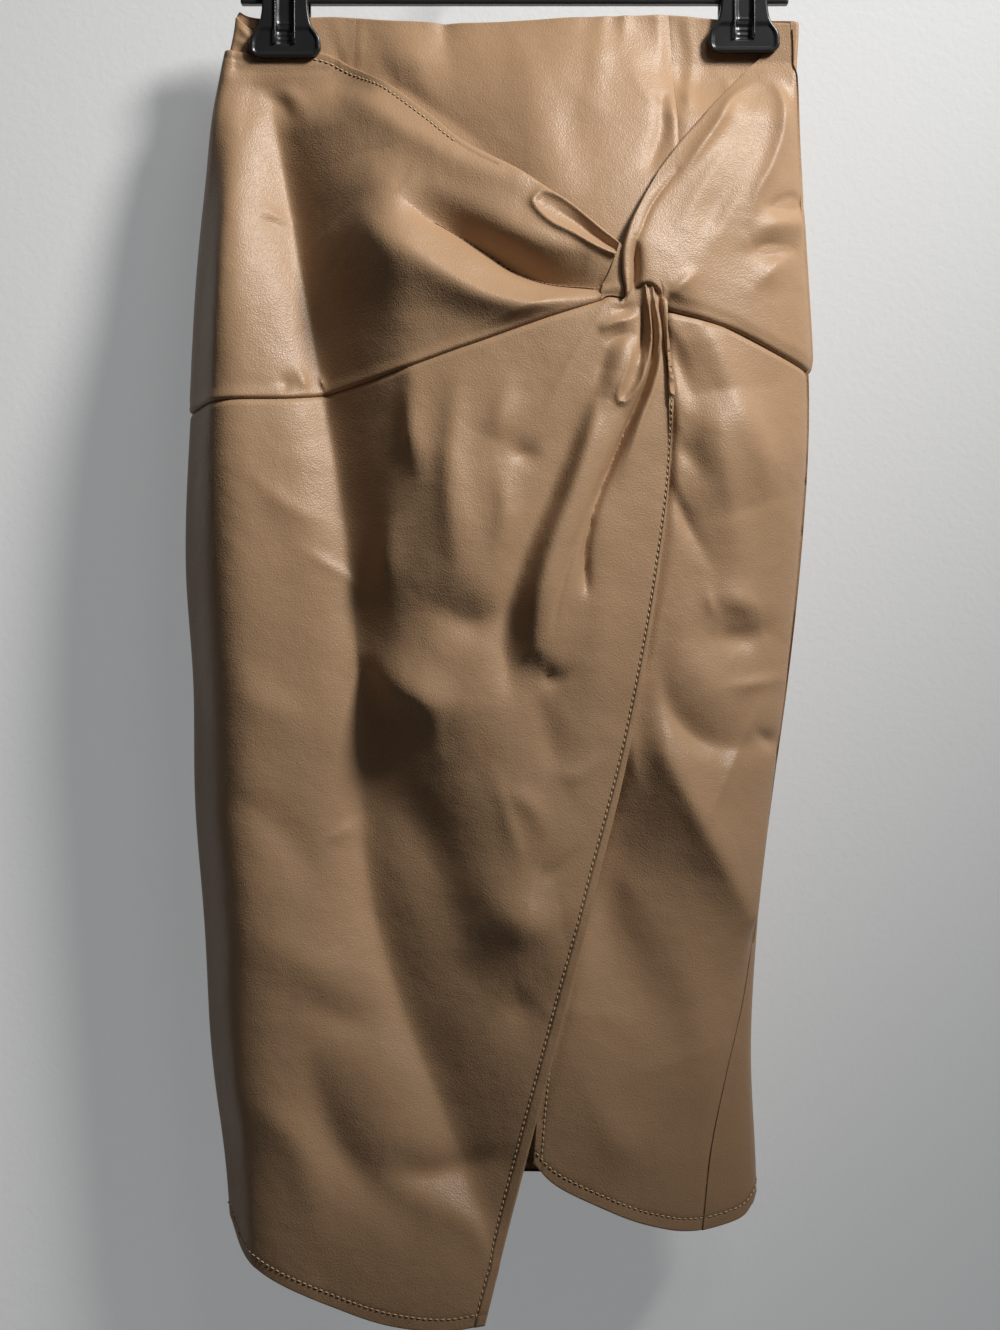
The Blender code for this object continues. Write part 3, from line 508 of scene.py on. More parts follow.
def cloth(name, places, lift, turned=FAR, from_stitch=FAR):
    """A cloth wall over a patch of places, its outer face lifted off the tube."""
    outer, inner, normals = wall_points(places, lift, turned)
    rows, columns = places.shape[0] - 1, places.shape[1] - 1
    bm = bmesh.new()
    bmesh.ops.create_grid(bm, x_segments=columns, y_segments=rows, size=0.5)
    bmesh.ops.solidify(bm, geom=bm.faces[:], thickness=0.1)
    flat = np.array([vertex.co for vertex in bm.verts])
    at_row = np.rint((0.5 - flat[:, 1]) * rows).astype(int)
    at_column = np.rint((flat[:, 0] + 0.5) * columns).astype(int)
    is_outer = flat[:, 2] > flat[:, 2].max() - 0.05
    for vertex, face, row, column in zip(bm.verts, is_outer, at_row, at_column):
        vertex.co = (outer if face else inner)[row, column]
    if bm.calc_volume(signed=True) < 0:
        bmesh.ops.reverse_faces(bm, faces=bm.faces)
    obj = piece(bm, name, leather["outside"], name.removesuffix("_cloth"))
    obj.data.set_sharp_from_angle(angle=SHARP_PAST)
    stitch = obj.data.attributes.new(ATTRIBUTE, "FLOAT", "POINT")
    from_stitch = np.broadcast_to(from_stitch, lift.shape)[at_row, at_column]
    stitch.data.foreach_set("value", np.where(is_outer, from_stitch, FAR))
    return obj, outer, normals


print("cloth walls are", WALL, "m thick, and", TURNED_WALL, "m where they are turned")

# %% [markdown]
# ## Building a finish
# A finish is a graph of nodes: textures tint the colour, spread the gloss and raise a
# relief. It could be wired by hand in the editor. As every finish here needs the same few
# parts, each part is a helper that returns the output to link on. The textures read the
# piece's own Object coordinates, so they stay on it.

# %% Finish helpers


def node(tree, kind, **values):
    """A node with its properties and its input values set by name."""
    made = tree.nodes.new(kind)
    for key, value in values.items():
        if key in made.inputs:
            made.inputs[key].default_value = value
        else:
            setattr(made, key, value)
    return made


def new_finish(name, **values):
    """A new material, with its node tree and its shader, whose inputs are set by name."""
    made = bpy.data.materials.new(name)
    made.use_nodes = True
    shader = made.node_tree.nodes["Principled BSDF"]
    for key, value in values.items():
        shader.inputs[key.replace("_", " ")].default_value = value
    return made, made.node_tree, shader


def texture(tree, kind, output, **values):
    """The output of a texture that lies on the piece's own Object coordinates."""
    made = node(tree, f"ShaderNodeTex{kind}", **values)
    tree.links.new(tree.nodes.new("ShaderNodeTexCoord").outputs["Object"], made.inputs["Vector"])
    return made.outputs[output]


def worked_out(tree, operation, *values):
    """A sum on numbers and outputs, such as MULTIPLY."""
    made = node(tree, "ShaderNodeMath", operation=operation)
    for socket, value in zip(made.inputs, values):
        if isinstance(value, bpy.types.NodeSocket):
            tree.links.new(value, socket)
        else:
            socket.default_value = value
    return made.outputs[0]


def tinted(tree, share, one, other):
    """A mix of two colours by a share. The first may be another node's output."""
    mix = node(tree, "ShaderNodeMix", data_type="RGBA")
    tree.links.new(share, mix.inputs["Factor"])
    mix.inputs[7].default_value = (*other, 1.0)
    if isinstance(one, bpy.types.NodeSocket):
        tree.links.new(one, mix.inputs[6])
    else:
        mix.inputs[6].default_value = (*one, 1.0)
    return mix.outputs[2]


def spread(tree, value, low, high, value_from=0.0, value_to=1.0):
    """A value that runs between two numbers, spread from low to high."""
    made = node(tree, "ShaderNodeMapRange")
    for key, number in zip(("From Min", "From Max", "To Min", "To Max"), (value_from, value_to, low, high)):
        made.inputs[key].default_value = number
    tree.links.new(value, made.inputs["Value"])
    return made.outputs["Result"]


def relief(tree, shader, *layers):
    """Bumps over each other: each is an output, its height (below 0 goes inwards), its strength."""
    normal = None
    for source, high, strength in layers:
        bump = node(tree, "ShaderNodeBump", Distance=abs(high), Strength=strength, invert=high < 0)
        tree.links.new(source, bump.inputs["Height"])
        if normal:
            tree.links.new(normal, bump.inputs["Normal"])
        normal = bump.outputs["Normal"]
    tree.links.new(normal, shader.inputs["Normal"])


def shaded(colour, share):
    """A colour made darker or paler."""
    return tuple(min(c * share, 1.0) for c in colour)


print("helpers for finishes are ready")

# %% [markdown]
# ## The cloth's finish
# Faux leather is a knit coated with polyurethane and pressed with a fine grain. It could be
# painted as an image, but the grain is small and even, so noise makes it: cells for the
# pebbles, slow clouds for the handling marks. The coating has a satin gloss, which is what
# draws every fold as a bright line beside a dark one. Along a row of stitches the
# cloth is pulled in, and the attribute from_stitch says how far away that row is. There
# the colour is also darkened, as painted shade in the groove.

# %% Faux leather
TAN = (0.43, 0.269, 0.155)
STITCH_GROOVE_AND_SHADE_HALF = 0.0009  # how far from a row of stitches the cloth is still pulled in and darkened with painted shade


def faux_leather(name, colour):
    """Coated cloth: clouded colour and gloss, fine grain, slow waves, and grooves along stitches darkened
    with painted shade.
    """
    made, tree, shader = new_finish(name, Specular_IOR_Level=0.38)
    clouds = texture(tree, "Noise", "Fac", Scale=14.0, Detail=3.0, Roughness=0.55)
    pebbles = texture(tree, "Voronoi", "Distance", Scale=1200.0, Randomness=1.0, feature="SMOOTH_F1")
    fine = texture(tree, "Noise", "Fac", Scale=720.0, Detail=2.0)
    waves = texture(tree, "Noise", "Fac", Scale=19.0, Detail=3.0, Roughness=0.5, Distortion=0.1)
    stitch = node(tree, "ShaderNodeAttribute", attribute_name=ATTRIBUTE).outputs["Fac"]
    away = worked_out(tree, "DIVIDE", worked_out(tree, "ABSOLUTE", stitch), STITCH_GROOVE_AND_SHADE_HALF)
    stitch_groove_and_shade = worked_out(tree, "POWER", math.exp(-1), away)

    colour_out = tinted(tree, clouds, shaded(colour, 0.93), shaded(colour, 1.05))
    # painted shade: along each row of stitches the tan is mixed towards a third of itself, as shade in the
    # groove
    colour_out = tinted(tree, worked_out(tree, "MULTIPLY", stitch_groove_and_shade, 0.4), colour_out, shaded(colour, 0.36))
    tree.links.new(colour_out, shader.inputs["Base Color"])
    tree.links.new(spread(tree, clouds, 0.39, 0.47, 0.3, 0.7), shader.inputs["Roughness"])
    relief(tree, shader, (waves, 0.0052, 0.5), (fine, 0.0003, 0.45), (pebbles, 0.0003, 0.6),
           (stitch_groove_and_shade, -0.0007, 0.7))
    return made


leather["outside"] = faux_leather("tan_faux_leather", TAN)
print("finish:", leather["outside"].name)

# %% [markdown]
# ## The fitted waist
# Three panels make the waist: a wide centre and two sides, joined by princess seams that
# run down inside the drapes. On the hanger the clips pull the top edge tight, which leaves
# shallow vertical dents under it. The panels are pinned along their seams, and sink a
# little at each one, where thread pulls the edges in.

# %% Waist panels
WAIST_TOP = metres(
    (-165, -3), (-150, 7.5), (-135, 0), (-111.6, -2.4), (-60, 0.7), (0, 2.3), (74.3, -1.3), (104.7, -3.3),
    (135.2, -1.2), (186, 1.4),
)
PRINCESS_LEFT = metres((-89.2, -0.9), (-90.4, 30), (-91.5, 220))
PRINCESS_RIGHT = metres((104.7, -3.3), (107.4, 35.9), (111, 175))
HIP_SEAM_LEFT = metres(
    (-190.9, 245.7), (-174.6, 241.9), (-122.6, 239.1), (-84.3, 232), (-19.5, 211.4), (35.6, 192),
    (60, 184.5),
)
HIP_SEAM_RIGHT = metres((96.2, 187), (134.9, 196.5), (171.6, 211.4), (190.5, 219.1))
WAIST_FOLDS = (
    ((-90, 30, -1,  -50, 68, -7,  -10, 96, -7,  30, 130, -3), (24, 24, 1, 0.8)),
    ((44, -2, 4,  41, 30, 5,  34, 80, 1), (30, 26, 0.6, 0.7)),
    ((-80, 34, -0.8,  -68, 54, -6,  -45, 80, -5.6,  -18, 100, -2), (12, 16, 2, 0.9)),
    ((-96, 18, 0.4,  -93, 36, 2.4,  -90.5, 50, 2.4), (3.4, 2.4, 0.8, 0.5)),
    ((-106, 6, -0.6,  -101, 24, -2.6,  -98, 40, -2), (5, 5, 1, 0.7)),
    ((-35, -2, -3,  -33.5, 15, -2.6,  -29, 45, -0.4), (4.5, 14, 1.3, 0.3)),
    ((-82, 10, -1,  -66, 45, -2.4,  -40, 75, -1), (8, 12, 1, 0.8)),
    ((-60, 10, 0.6,  -48, 40, 1.6,  -25, 80, 1), (9, 12, 1, 0.9)),
    ((10, 10, 0.8,  18, 50, 2,  30, 110, 1.2), (12, 16, 1, 1)),
    ((45, 20, -0.8,  42, 60, -2.2,  50, 100, -1.2), (11, 14, 1, 1)),
    ((64, -2, 1.6,  62, 20, 2,  58, 60, 0.8), (6, 11, 1, 0.7)),
    ((77, -2, 2,  76, 12, 1.2,  74, 30, 0), (4.5, 6, 1, 0.6)),
    ((98, 0, 2.2,  99, 20, 1.8,  96, 50, 0.4), (4, 6, 1, 0.6)),
    ((100, 52, -2,  99, 75, -3.4,  92, 96, -2), (4.5, 6, 1, 0.6)),
    ((116, 2, 3,  119, 25, 5.2,  115, 52, 4), (5, 6, 1, 0.6)),
    ((110.5, 0, -0.6,  111, 20, -1,  111, 40, -1.6), (3, 4, 1, 0.5)),
    ((140, 40, 2,  142, 46, 3.2,  143, 54, 2.2), (3.5, 4, 1, 0.4)),
    ((-101, 0, 1.2,  -99, 12, 2,  -96, 26, 1), (4, 5, 1, 0.5)),
    ((-162, 4, 3,  -156, 10, 5,  -148, 14, 3.6), (2.2, 2, 1, 0.4)),
    ((-164, 12, 2.6,  -157, 15, 4,  -150, 17, 3), (1.8, 1.8, 1, 0.4)),
)
WAIST_LOWS = np.vstack([HIP_SEAM_LEFT[:-1], [(0.075, 0.170)], HIP_SEAM_RIGHT[1:]]) - (0, TUCKED)
WAIST_ROWS, WAIST_COLUMNS = 92, {"left": 56, "centre": 120, "right": 56}
FOLDS_IN_CLIP = 0.35  # the share of the waist's folds that is left where a clip grips it
CALM_AT_PRINCESS, PRINCESS_DIP = 0.008, 0.7  # where its folds are full, and the seam's share of a dip
DEEPEST_GRIPPED, DEEPEST_FREE = 0.0035, 0.0060  # how deep it may sink in a clip, and more past it


def princess(curve, at_shares):
    """A princess seam's places, from the waist's top edge to the panels' low edge."""
    ends = (interpolate(*WAIST_TOP.T, curve[0][0]), interpolate(*WAIST_LOWS.T, curve[-1][0]))
    drops = np.interp(at_shares, (0, 1), ends)
    return np.stack([degrees_at(across_at(curve, drops), drops), drops], axis=-1)


def between(left, right, end, curve, u):
    """A panel's top or bottom edge: the curve's stretch between two side edges."""
    ends = across_of(np.stack([left[end], right[end]]))
    across = np.linspace(ends[0], ends[1], DENSE)
    drops = interpolate(*curve.T, across)
    drops += np.linspace(left[end][1] - drops[0], right[end][1] - drops[-1], DENSE)
    edge = along_edge(degrees_at(across, drops), drops, u)
    edge[0], edge[-1] = left[end], right[end]
    return edge


v = shares(WAIST_ROWS, (0.0, *ROUNDED), (0.0, 1.0, 0.3))
seams = (
    side_seam((WAIST_TOP[0][1], WAIST_LOWS[0][1]), v, right=False),
    princess(PRINCESS_LEFT, v),
    princess(PRINCESS_RIGHT, v),
    side_seam((WAIST_TOP[-1][1], WAIST_LOWS[-1][1]), v, right=True),
)
for (side, columns), left, right in zip(WAIST_COLUMNS.items(), seams, seams[1:]):
    u = both_ends(columns)
    top, bottom = between(left, right, 0, WAIST_TOP, u), between(left, right, -1, WAIST_LOWS, u)
    places, near, across, drop = measured(filled(top, bottom, left, right, u, v), SEAM_GAP / 2)
    free = 1 - closed_by_clips(across, drop)
    lift = fold_lift(WAIST_FOLDS, across, drop) * np.maximum(free, FOLDS_IN_CLIP)
    lift *= smooth(np.minimum(near["left"], near["right"]) / CALM_AT_PRINCESS)
    lift -= (seam_dip(near, "left", "right") * PRINCESS_DIP + SUNK * smooth(drop / SUNK_BY)) * free
    lift = np.maximum(lift, -DEEPEST_GRIPPED - DEEPEST_FREE * free)
    lift -= rounded(near["top"], TOP_ROUND) * TOP_SHARE
    obj, *_ = cloth(f"waist_front_{side}_cloth", places, lift, turned=near["top"])

# %% [markdown]
# ## The lower front
# The overlap is the long piece: gathered into the twist at its top right corner, it wraps
# over to a slanting edge and a hem that falls towards the left. Its pleats start as three
# narrow ridges under the loop of the twist, and open into one broad pleat that ends in
# a rounded toe. The underlap beneath it is shorter, and shows on the right. Its first
# folds and a little room keep it behind the pleats.

# %% Lower front's edges and folds
KNOT_SEAM = metres((60, 184.5), (66, 181.5), (73.5, 182.5))
LOOP_ARCH = metres((73.5, 182.5), (79, 177), (86, 174.5), (92.5, 178), (96.2, 187))
UNDER_LOOP = metres((73.5, 182.5), (79, 173), (86, 170), (93.5, 173), (96.2, 187))
WRAP_EDGE = metres(
    (96.2, 187), (101.1, 251.9), (99.3, 295.4), (94.5, 338.8), (77.3, 445.2), (53, 547.6), (22.6, 671.8),
    (-9, 795.3),
)
OVERLAP_HEM = metres(
    (-164, 739), (-149.5, 763.3), (-101.4, 785.7), (-61.8, 796.8), (-35, 799), (-9, 795.3),
)
UNDERLAP_EDGE = metres((84, 190.5), (76, 340), (48, 500), (22.5, 660), (19.7, 699.4))
UNDERLAP_HEM = metres(
    (19.7, 699.4), (31.6, 711.6), (57.5, 725.1), (92.8, 739.2), (109.5, 743), (123.3, 743.8),
)
PLEATS = (  # at the twist, from left to right
    ((65, 190, -0.2,  73, 189, -1.8,  80, 187, -0.6), (3, 2.6, 1, 0.7)),
    ((58, 203.3, 0,  62.2, 199.9, 2.2,  69, 197.4, 3,  74, 196.2, 2.6,  79.9, 193.5, 0.6),
     (3, 2.6, 1, 0.5)),
    ((62, 211, -0.2,  69, 206, -2,  76, 203, -0.6), (3.4, 3, 1, 0.8)),
    ((74, 204, 0.4,  72.5, 215, 4,  68, 230, 4.6,  63, 244, 1), (7, 7, 0.9, 1)),
    ((85, 210, 0,  84.2, 221, 1.8,  82.5, 230.3, 2.6,  78.2, 238.7, 2.8,  74, 244, 2.6,  70.6, 245.2, 2.6,
      68.6, 242.5, 2.4,  69.6, 237, 2.2,  72.3, 230.3, 2,  75.7, 220.1, 1.2,
      77.7, 211.7, 0), (1.7, 1.7, 1, 0.6)),
    ((64, 210, -0.6,  59, 230, -2.4,  56, 252, -0.6), (4, 6, 1, 0.7)),
    ((85, 174, 3,  86.2, 185, 4.2,  87.6, 196.5, 4.6,  87.8, 210, 4.4,  85, 226.9, 3.8,  79.9, 240.4, 2.6,
      73.5, 254, 0), (1.5, 2.2, 1, 0.6)),
    ((83.8, 188, -1,  84.2, 200, -4,  83.6, 211, -3.6,  81.5, 223, 0), (1.2, 1.4, 1, 0.5)),
    ((89, 174.5, 3,  90.2, 184, 4.2,  92.7, 200, 4.8,  92.7, 220.1, 4.6,  88.5, 237, 4,  82.4, 253.9, 3.4,
      75.7, 275.8, 2,  69, 295, 0), (1.5, 4, 1, 0.6)),
    ((88, 186, -1,  90.2, 201.6, -3.6,  89.6, 218.5, -3.6,  85.6, 233, -3,  80, 247, 0),
     (0.9, 1.4, 1, 0.5)),
    ((94.8, 205, 0,  91, 222, -6,  85.5, 238, -8.4,  78, 254, -9,  69, 274, -8,  60, 295, -6,
      54.1, 311.5, -5,  50, 332, -5,  49.8, 348, -4.4,  51.2, 360.2, 0), (2, 2.8, 1, 0.5)),
    ((93.5, 176, 2.6,  95.9, 185, 3.6,  98.5, 205, 3.8,  100.8, 225, 3,  101.2, 250, 2,  100.5, 270, 0),
     (1.6, 2.2, 1, 0.6)),
    ((62, 225, 0,  56, 250, 4.6,  49.8, 272, 8,  40, 300, 10,  29, 329, 11.2,  21.2, 360, 11.2,
      20.8, 389, 6), (5, 8, 2.3, 0.6)),
    ((52, 245, -1,  40, 275, -4,  28, 305, -5.6,  15, 335, -6.4,  7, 365, -6.6,  5, 395, -5.6,
      9, 425, -1), (7, 11, 1, 0.8)),
    ((72.7, 251.4, -0.4,  61.3, 282.8, -1.4,  51.3, 308.6, -1.8,  41.3, 334.2, -2.2,  34.1, 357.3, -2,
      29.8, 380.2, -0.4), (1.2, 1.8, 1, 0.3)),
    ((26, 400, -1,  30, 408, -4,  40, 406, -1), (5, 5, 1, 0.7)),
)
OVERLAP_FOLDS = PLEATS + (
    ((61, 189, 0.4,  41, 222, 1,  18, 270, 0), (3, 6, 0.7, 0.1)),
    # the belly's upright streaks, and the sag that ends them
    ((-52, 225, 1.2,  -50, 262, 5.2,  -46, 290, 1), (6, 6, 1.3, 0.6)),
    ((-62, 310, 0.6,  -64, 335, 3,  -62, 358, 0.6), (7, 7, 1, 0.7)),
    ((-26, 235, 1,  -29, 290, 5,  -24, 345, 1.6), (6, 8, 1.4, 0.7)),
    ((6, 268, -0.6,  14, 276, -3.4,  22, 270, -0.6), (6, 6, 1, 0.8)),
    ((0, 285, 0.8,  2, 310, 3,  -2, 335, 0.8), (6, 7, 1.2, 0.7)),
    ((4, 235, 0.8,  0, 255, 3,  -6, 268, 0.8), (7, 8, 1, 0.8)),
    ((-36, 368, -2.6,  -18, 375, -6,  0, 371, -1.8), (12, 11, 1, 0.7)),
    ((-74, 396, 3,  -48, 416, 10,  -26, 426, 3), (15, 15, 1, 0.7)),
    ((-44, 408, 0.4,  -37, 430, 1.6,  -35, 452, 0.8), (6, 6, 1, 0.5)),
    ((-64, 470, -3,  -46, 500, -7,  -20, 575, -4), (22, 22, 1, 0.8)),
    ((-4, 535, 3,  14, 552, 8,  36, 548, 3), (20, 18, 1, 0.7)),
    ((0, 600, -1.6,  12, 605, -4,  22, 598, -1.6), (15, 12, 1, 0.8)),
    ((0, 384, -0.4,  4, 400, -1,  4, 420, 0), (2.4, 3, 1, 0.3)),
    ((-4, 462, 0.4,  6, 494, 2,  14, 520, 0.4), (5, 8, 0.8, 0.3)),
    ((2, 476, 0.6,  16, 482, 2.6,  30, 500, 0.6), (7, 8, 1, 0.5)),
    ((16, 400, -0.8,  28, 440, -3,  36, 470, -0.8), (10, 10, 1, 0.7)),
    ((30, 462, 0.6,  44, 466, 1.8,  58, 455, 0.6), (6, 5, 1, 0.5)),
    ((20, 520, -0.6,  30, 524, -1.8,  44, 512, -0.6), (5, 5, 1, 0.5)),
    # creases of the side facet
    ((-122, 328, 0.2,  -98, 344, 1.6,  -72, 359, 0.2), (4, 5, 0.6, 0.2)),
    ((-150, 285, 0.4,  -128, 305, 1.6,  -105, 318, 0.4), (6, 8, 1, 0.5)),
    ((-106, 506, 0.2,  -96, 500, 1.6,  -89, 496, 0.2), (3, 4, 0.7, 0.3)),
    ((-160, 400, 0.6,  -140, 424, 2.4,  -110, 436, 0.6), (12, 14, 1, 0.8)),
    ((-160, 480, -0.6,  -130, 500, -2.4,  -110, 530, -0.6), (12, 12, 1, 0.8)),
    ((-150, 560, 0.6,  -115, 580, 3.4,  -85, 590, 0.6), (16, 18, 1, 0.8)),
    ((-120, 600, -0.6,  -95, 612, -3,  -70, 616, -0.6), (12, 12, 1, 0.8)),
    # the low bulge above the hem, and the shade under it
    ((-90, 640, 0.4,  -40, 650, 1,  -4, 655, 0.4), (24, 24, 1, 0.8)),
    ((-116, 630, -1.2,  -98, 690, -6,  -60, 730, -3), (14, 16, 1, 0.7)),
    ((-70, 700, -1,  -40, 706, -6,  0, 698, -2), (12, 10, 1, 0.6)),
    ((-150, 660, 1,  -120, 690, 4,  -110, 740, 1), (14, 14, 1, 0.8)),
    ((-50, 720, 0.6,  -20, 735, 3,  -6, 760, 1), (10, 8, 1, 0.6)),
    ((64, 320, 0.6,  58, 380, 1.8,  52, 430, 0.6), (10, 13, 1, 0.8)),
)
UNDERLAP_FOLDS = (
    ((97, 193, -0.6,  100, 215, -1.6,  102, 251.9, -2.2,  100.2, 295.4, -2.8,  95.4, 338.8, -3,
      78.2, 445.2, -3,  53.9, 547.6, -3,  24, 671.8, -1), (4, 4, 1, 0.8)),
    ((85, 428, 6,  112, 486, 15,  148, 552, 8), (20, 18, 1.7, 0.15)),
    ((76, 450, -2,  70, 500, -12,  66, 540, -12,  56, 610, -2), (24, 24, 1, 0.8)),
    ((100, 190, 1,  104, 196, 2.6,  107, 204, 0.6), (4, 4, 1, 0.5)),
    ((102, 202, -1.4,  107.5, 218, -4.4,  113, 236, -1.4), (5, 6, 1, 0.7)),
    ((120, 196, 1.4,  126, 208, 4,  138, 235, 4,  154, 270, 4,  165, 300, 1), (10, 13, 1, 0.9)),
    ((103, 234, 1,  106, 242, 3.4,  110, 250, 1), (3.6, 4, 1, 0.5)),
    ((127, 236, 0.4,  130, 258, 7,  132, 282, 7.4,  140, 308, 1), (15, 16, 1.7, 0.5)),
    ((108, 264, -2,  113, 274, -4,  120, 286, -1.6), (8, 7, 1, 0.8)),
    ((93, 390, -0.6,  100, 423, -4.4,  115, 442, -5.6,  133, 449, -3.6,  164, 447, -0.8),
     (6, 7, 1.6, 0.6)),
    ((106, 386, 1,  123, 414, 4.4,  146, 426, 1), (18, 18, 1, 0.9)),
    ((121, 490, 0.4,  140, 456, 2,  160, 418, 0.4), (4, 4, 1, 0.4)),
    ((103, 294, -1.6,  112, 314, -3.4,  125, 338, -1), (3.6, 6, 1, 0.5)),
    ((134, 280, 1,  140, 320, 3.4,  142, 350, 2), (12, 12, 1, 0.8)),
    ((129, 360, 1.4,  144, 362, 4.4,  156, 366, 1.4), (9, 9, 1, 0.7)),
    ((130, 384, -1.4,  147, 384, -5,  160, 380, -2), (8, 8, 1, 0.7)),
    ((124, 356, 0.4,  125, 364, 1.4,  129, 370, 0.4), (2.6, 2.6, 1, 0.4)),
    ((133, 413, 0.4,  152, 411, 2.4,  170, 408, 1), (5, 6, 0.7, 0.3)),
    ((157, 442, -1.4,  164, 446, -3.4,  170, 448, -1.4), (4, 5, 1, 0.5)),
    ((70, 500, 0,  85, 580, -7,  105, 640, 0), (24, 30, 1, 0.9)),
    ((64, 510, 0.6,  82, 540, 3,  100, 576, 1), (12, 14, 1, 0.8)),
    ((105, 560, 0.6,  120, 620, 3.6,  125, 680, 1), (16, 18, 1, 0.8)),
    ((50, 650, 0.6,  70, 685, 3,  90, 700, 0.6), (14, 16, 1, 0.8)),
)
print(len(OVERLAP_FOLDS), "folds on the overlap and", len(UNDERLAP_FOLDS), "on the underlap")

# %% [markdown]
# ## Laying the lower front
# Each of the two pieces is pinned along its four edges, lifted by its folds, and pulled
# in at its seams. Where it is turned and stitched, the distance to that row of stitches is
# kept, for the finish and for the thread.

# %% Overlap and underlap
WRAP_STITCH, HEM_STITCH = 0.0070, 0.0080  # from the edge to its row of stitches
BAND_RAISED = 0.0009  # how much higher the wrap's turned band lies
BAND_SIDE, BAND_TOP = (WRAP_STITCH, -0.0016), (0.045, 0.030)  # where that starts, and over what
COVERED = (-0.022, 0.022)  # from where, past the edge, the underlap takes up the overlap's form
PLEAT_ROOM = 0.0060  # how far the underlap keeps back from the pleats
ROOM_SIDE, ROOM_END = (-0.006, 0.008), (0.330, -0.060)  # that room's side and its end
FRONT_GRIDS = {"overlap": (190, 250), "underlap": (110, 240)}  # columns, rows
rows_to_sew = {}  # the distances, outer points and normals that each row of stitches follows


def overlap_lift(across, drop):
    """How far the overlap lies out from the tube."""
    return OVERLAP_LAYER + fold_lift(OVERLAP_FOLDS, across, drop)


def underlap_lift(across, drop):
    """The underlap's own folds where it shows, kept beneath the overlap where it is covered."""
    own = fold_lift(UNDERLAP_FOLDS, across, drop)
    cover = overlap_lift(across, drop) - OVERLAP_LAYER
    past_edge = across_at(WRAP_EDGE, drop) - across
    covered = step(past_edge, *COVERED)
    room = PLEAT_ROOM * step(drop, *ROOM_END) * step(past_edge, *ROOM_SIDE)
    return own * (1 - covered) + np.minimum(own, cover) * covered - room


columns, rows = FRONT_GRIDS["overlap"]  # the grid lies closer at the pleats
u, v = both_ends(columns, (0.93, 5.0, 0.07)), both_ends(rows, (0.07, 3.0, 0.07))
top, bottom = front_edge(u, HIP_SEAM_LEFT, KNOT_SEAM, UNDER_LOOP), front_edge(u, OVERLAP_HEM)
left, right = side_seam((top[0, 1], bottom[0, 1]), v, right=False), front_edge(v, WRAP_EDGE)
top[0], bottom[0] = left[0], left[-1]
places, near, across, drop = measured(filled(top, bottom, left, right, u, v), SEAM_GAP / 2)
lift = overlap_lift(across, drop) * smooth(near["left"] / CALM_AT_SIDE) - seam_dip(near, "top", "left")
free = np.minimum(near["bottom"], near["right"])
lift -= rounded(free, HEM_ROUND)
stitched = np.minimum(np.abs(near["bottom"] - HEM_STITCH), np.abs(near["right"] - WRAP_STITCH))
lift += BAND_RAISED * step(near["right"], *BAND_SIDE) * step(near["top"], *BAND_TOP)
obj, outer, normals = cloth("front_overlap_cloth", places, lift, turned=free, from_stitch=stitched)
rows_to_sew["wrap_edge"] = (near["right"], outer, normals, 1, WRAP_STITCH)
rows_to_sew["overlap_hem"] = (near["bottom"], outer, normals, 0, HEM_STITCH)

columns, rows = FRONT_GRIDS["underlap"]
u, v = both_ends(columns), both_ends(rows)
top = front_edge(u, (UNDERLAP_EDGE[0], (0.0985, 0.1885)), HIP_SEAM_RIGHT[1:])
bottom, left = front_edge(u, UNDERLAP_HEM), front_edge(v, UNDERLAP_EDGE)
right = side_seam((HIP_SEAM_RIGHT[-1][1], UNDERLAP_HEM[-1][1]), v, right=True)
top[-1], bottom[-1] = right[0], right[-1]
places, near, across, drop = measured(filled(top, bottom, left, right, u, v), SIDE_GAP)
lift = underlap_lift(across, drop) * smooth(near["right"] / CALM_AT_SIDE) - seam_dip(near, "top", "right")
free = np.minimum(near["bottom"], near["left"])
lift -= rounded(free, HEM_ROUND)
stitched = np.minimum(np.abs(near["bottom"] - HEM_STITCH), np.abs(near["left"] - WRAP_STITCH))
obj, outer, normals = cloth("front_underlap_cloth", places, lift, turned=free, from_stitch=stitched)
rows_to_sew["underlap_hem"] = (near["bottom"], outer, normals, 0, HEM_STITCH)
rows_to_sew["underlap_edge"] = (near["left"], outer, normals, 1, WRAP_STITCH)

# %% [markdown]
# ## The drapes and the twist
# Two draped pieces cross the front and pass through each other. The left one's top edge
# is turned and stitched near the clip, then rolls over softly towards the twist, where its
# folds narrow like a fan. The right one is caught at the side and gathered into a loop:
# its edge rolls round the left drape, and the pleats of the lower front come out under it.
# A knot could be tied from one sheet in a simulation, but its folds would fall elsewhere.

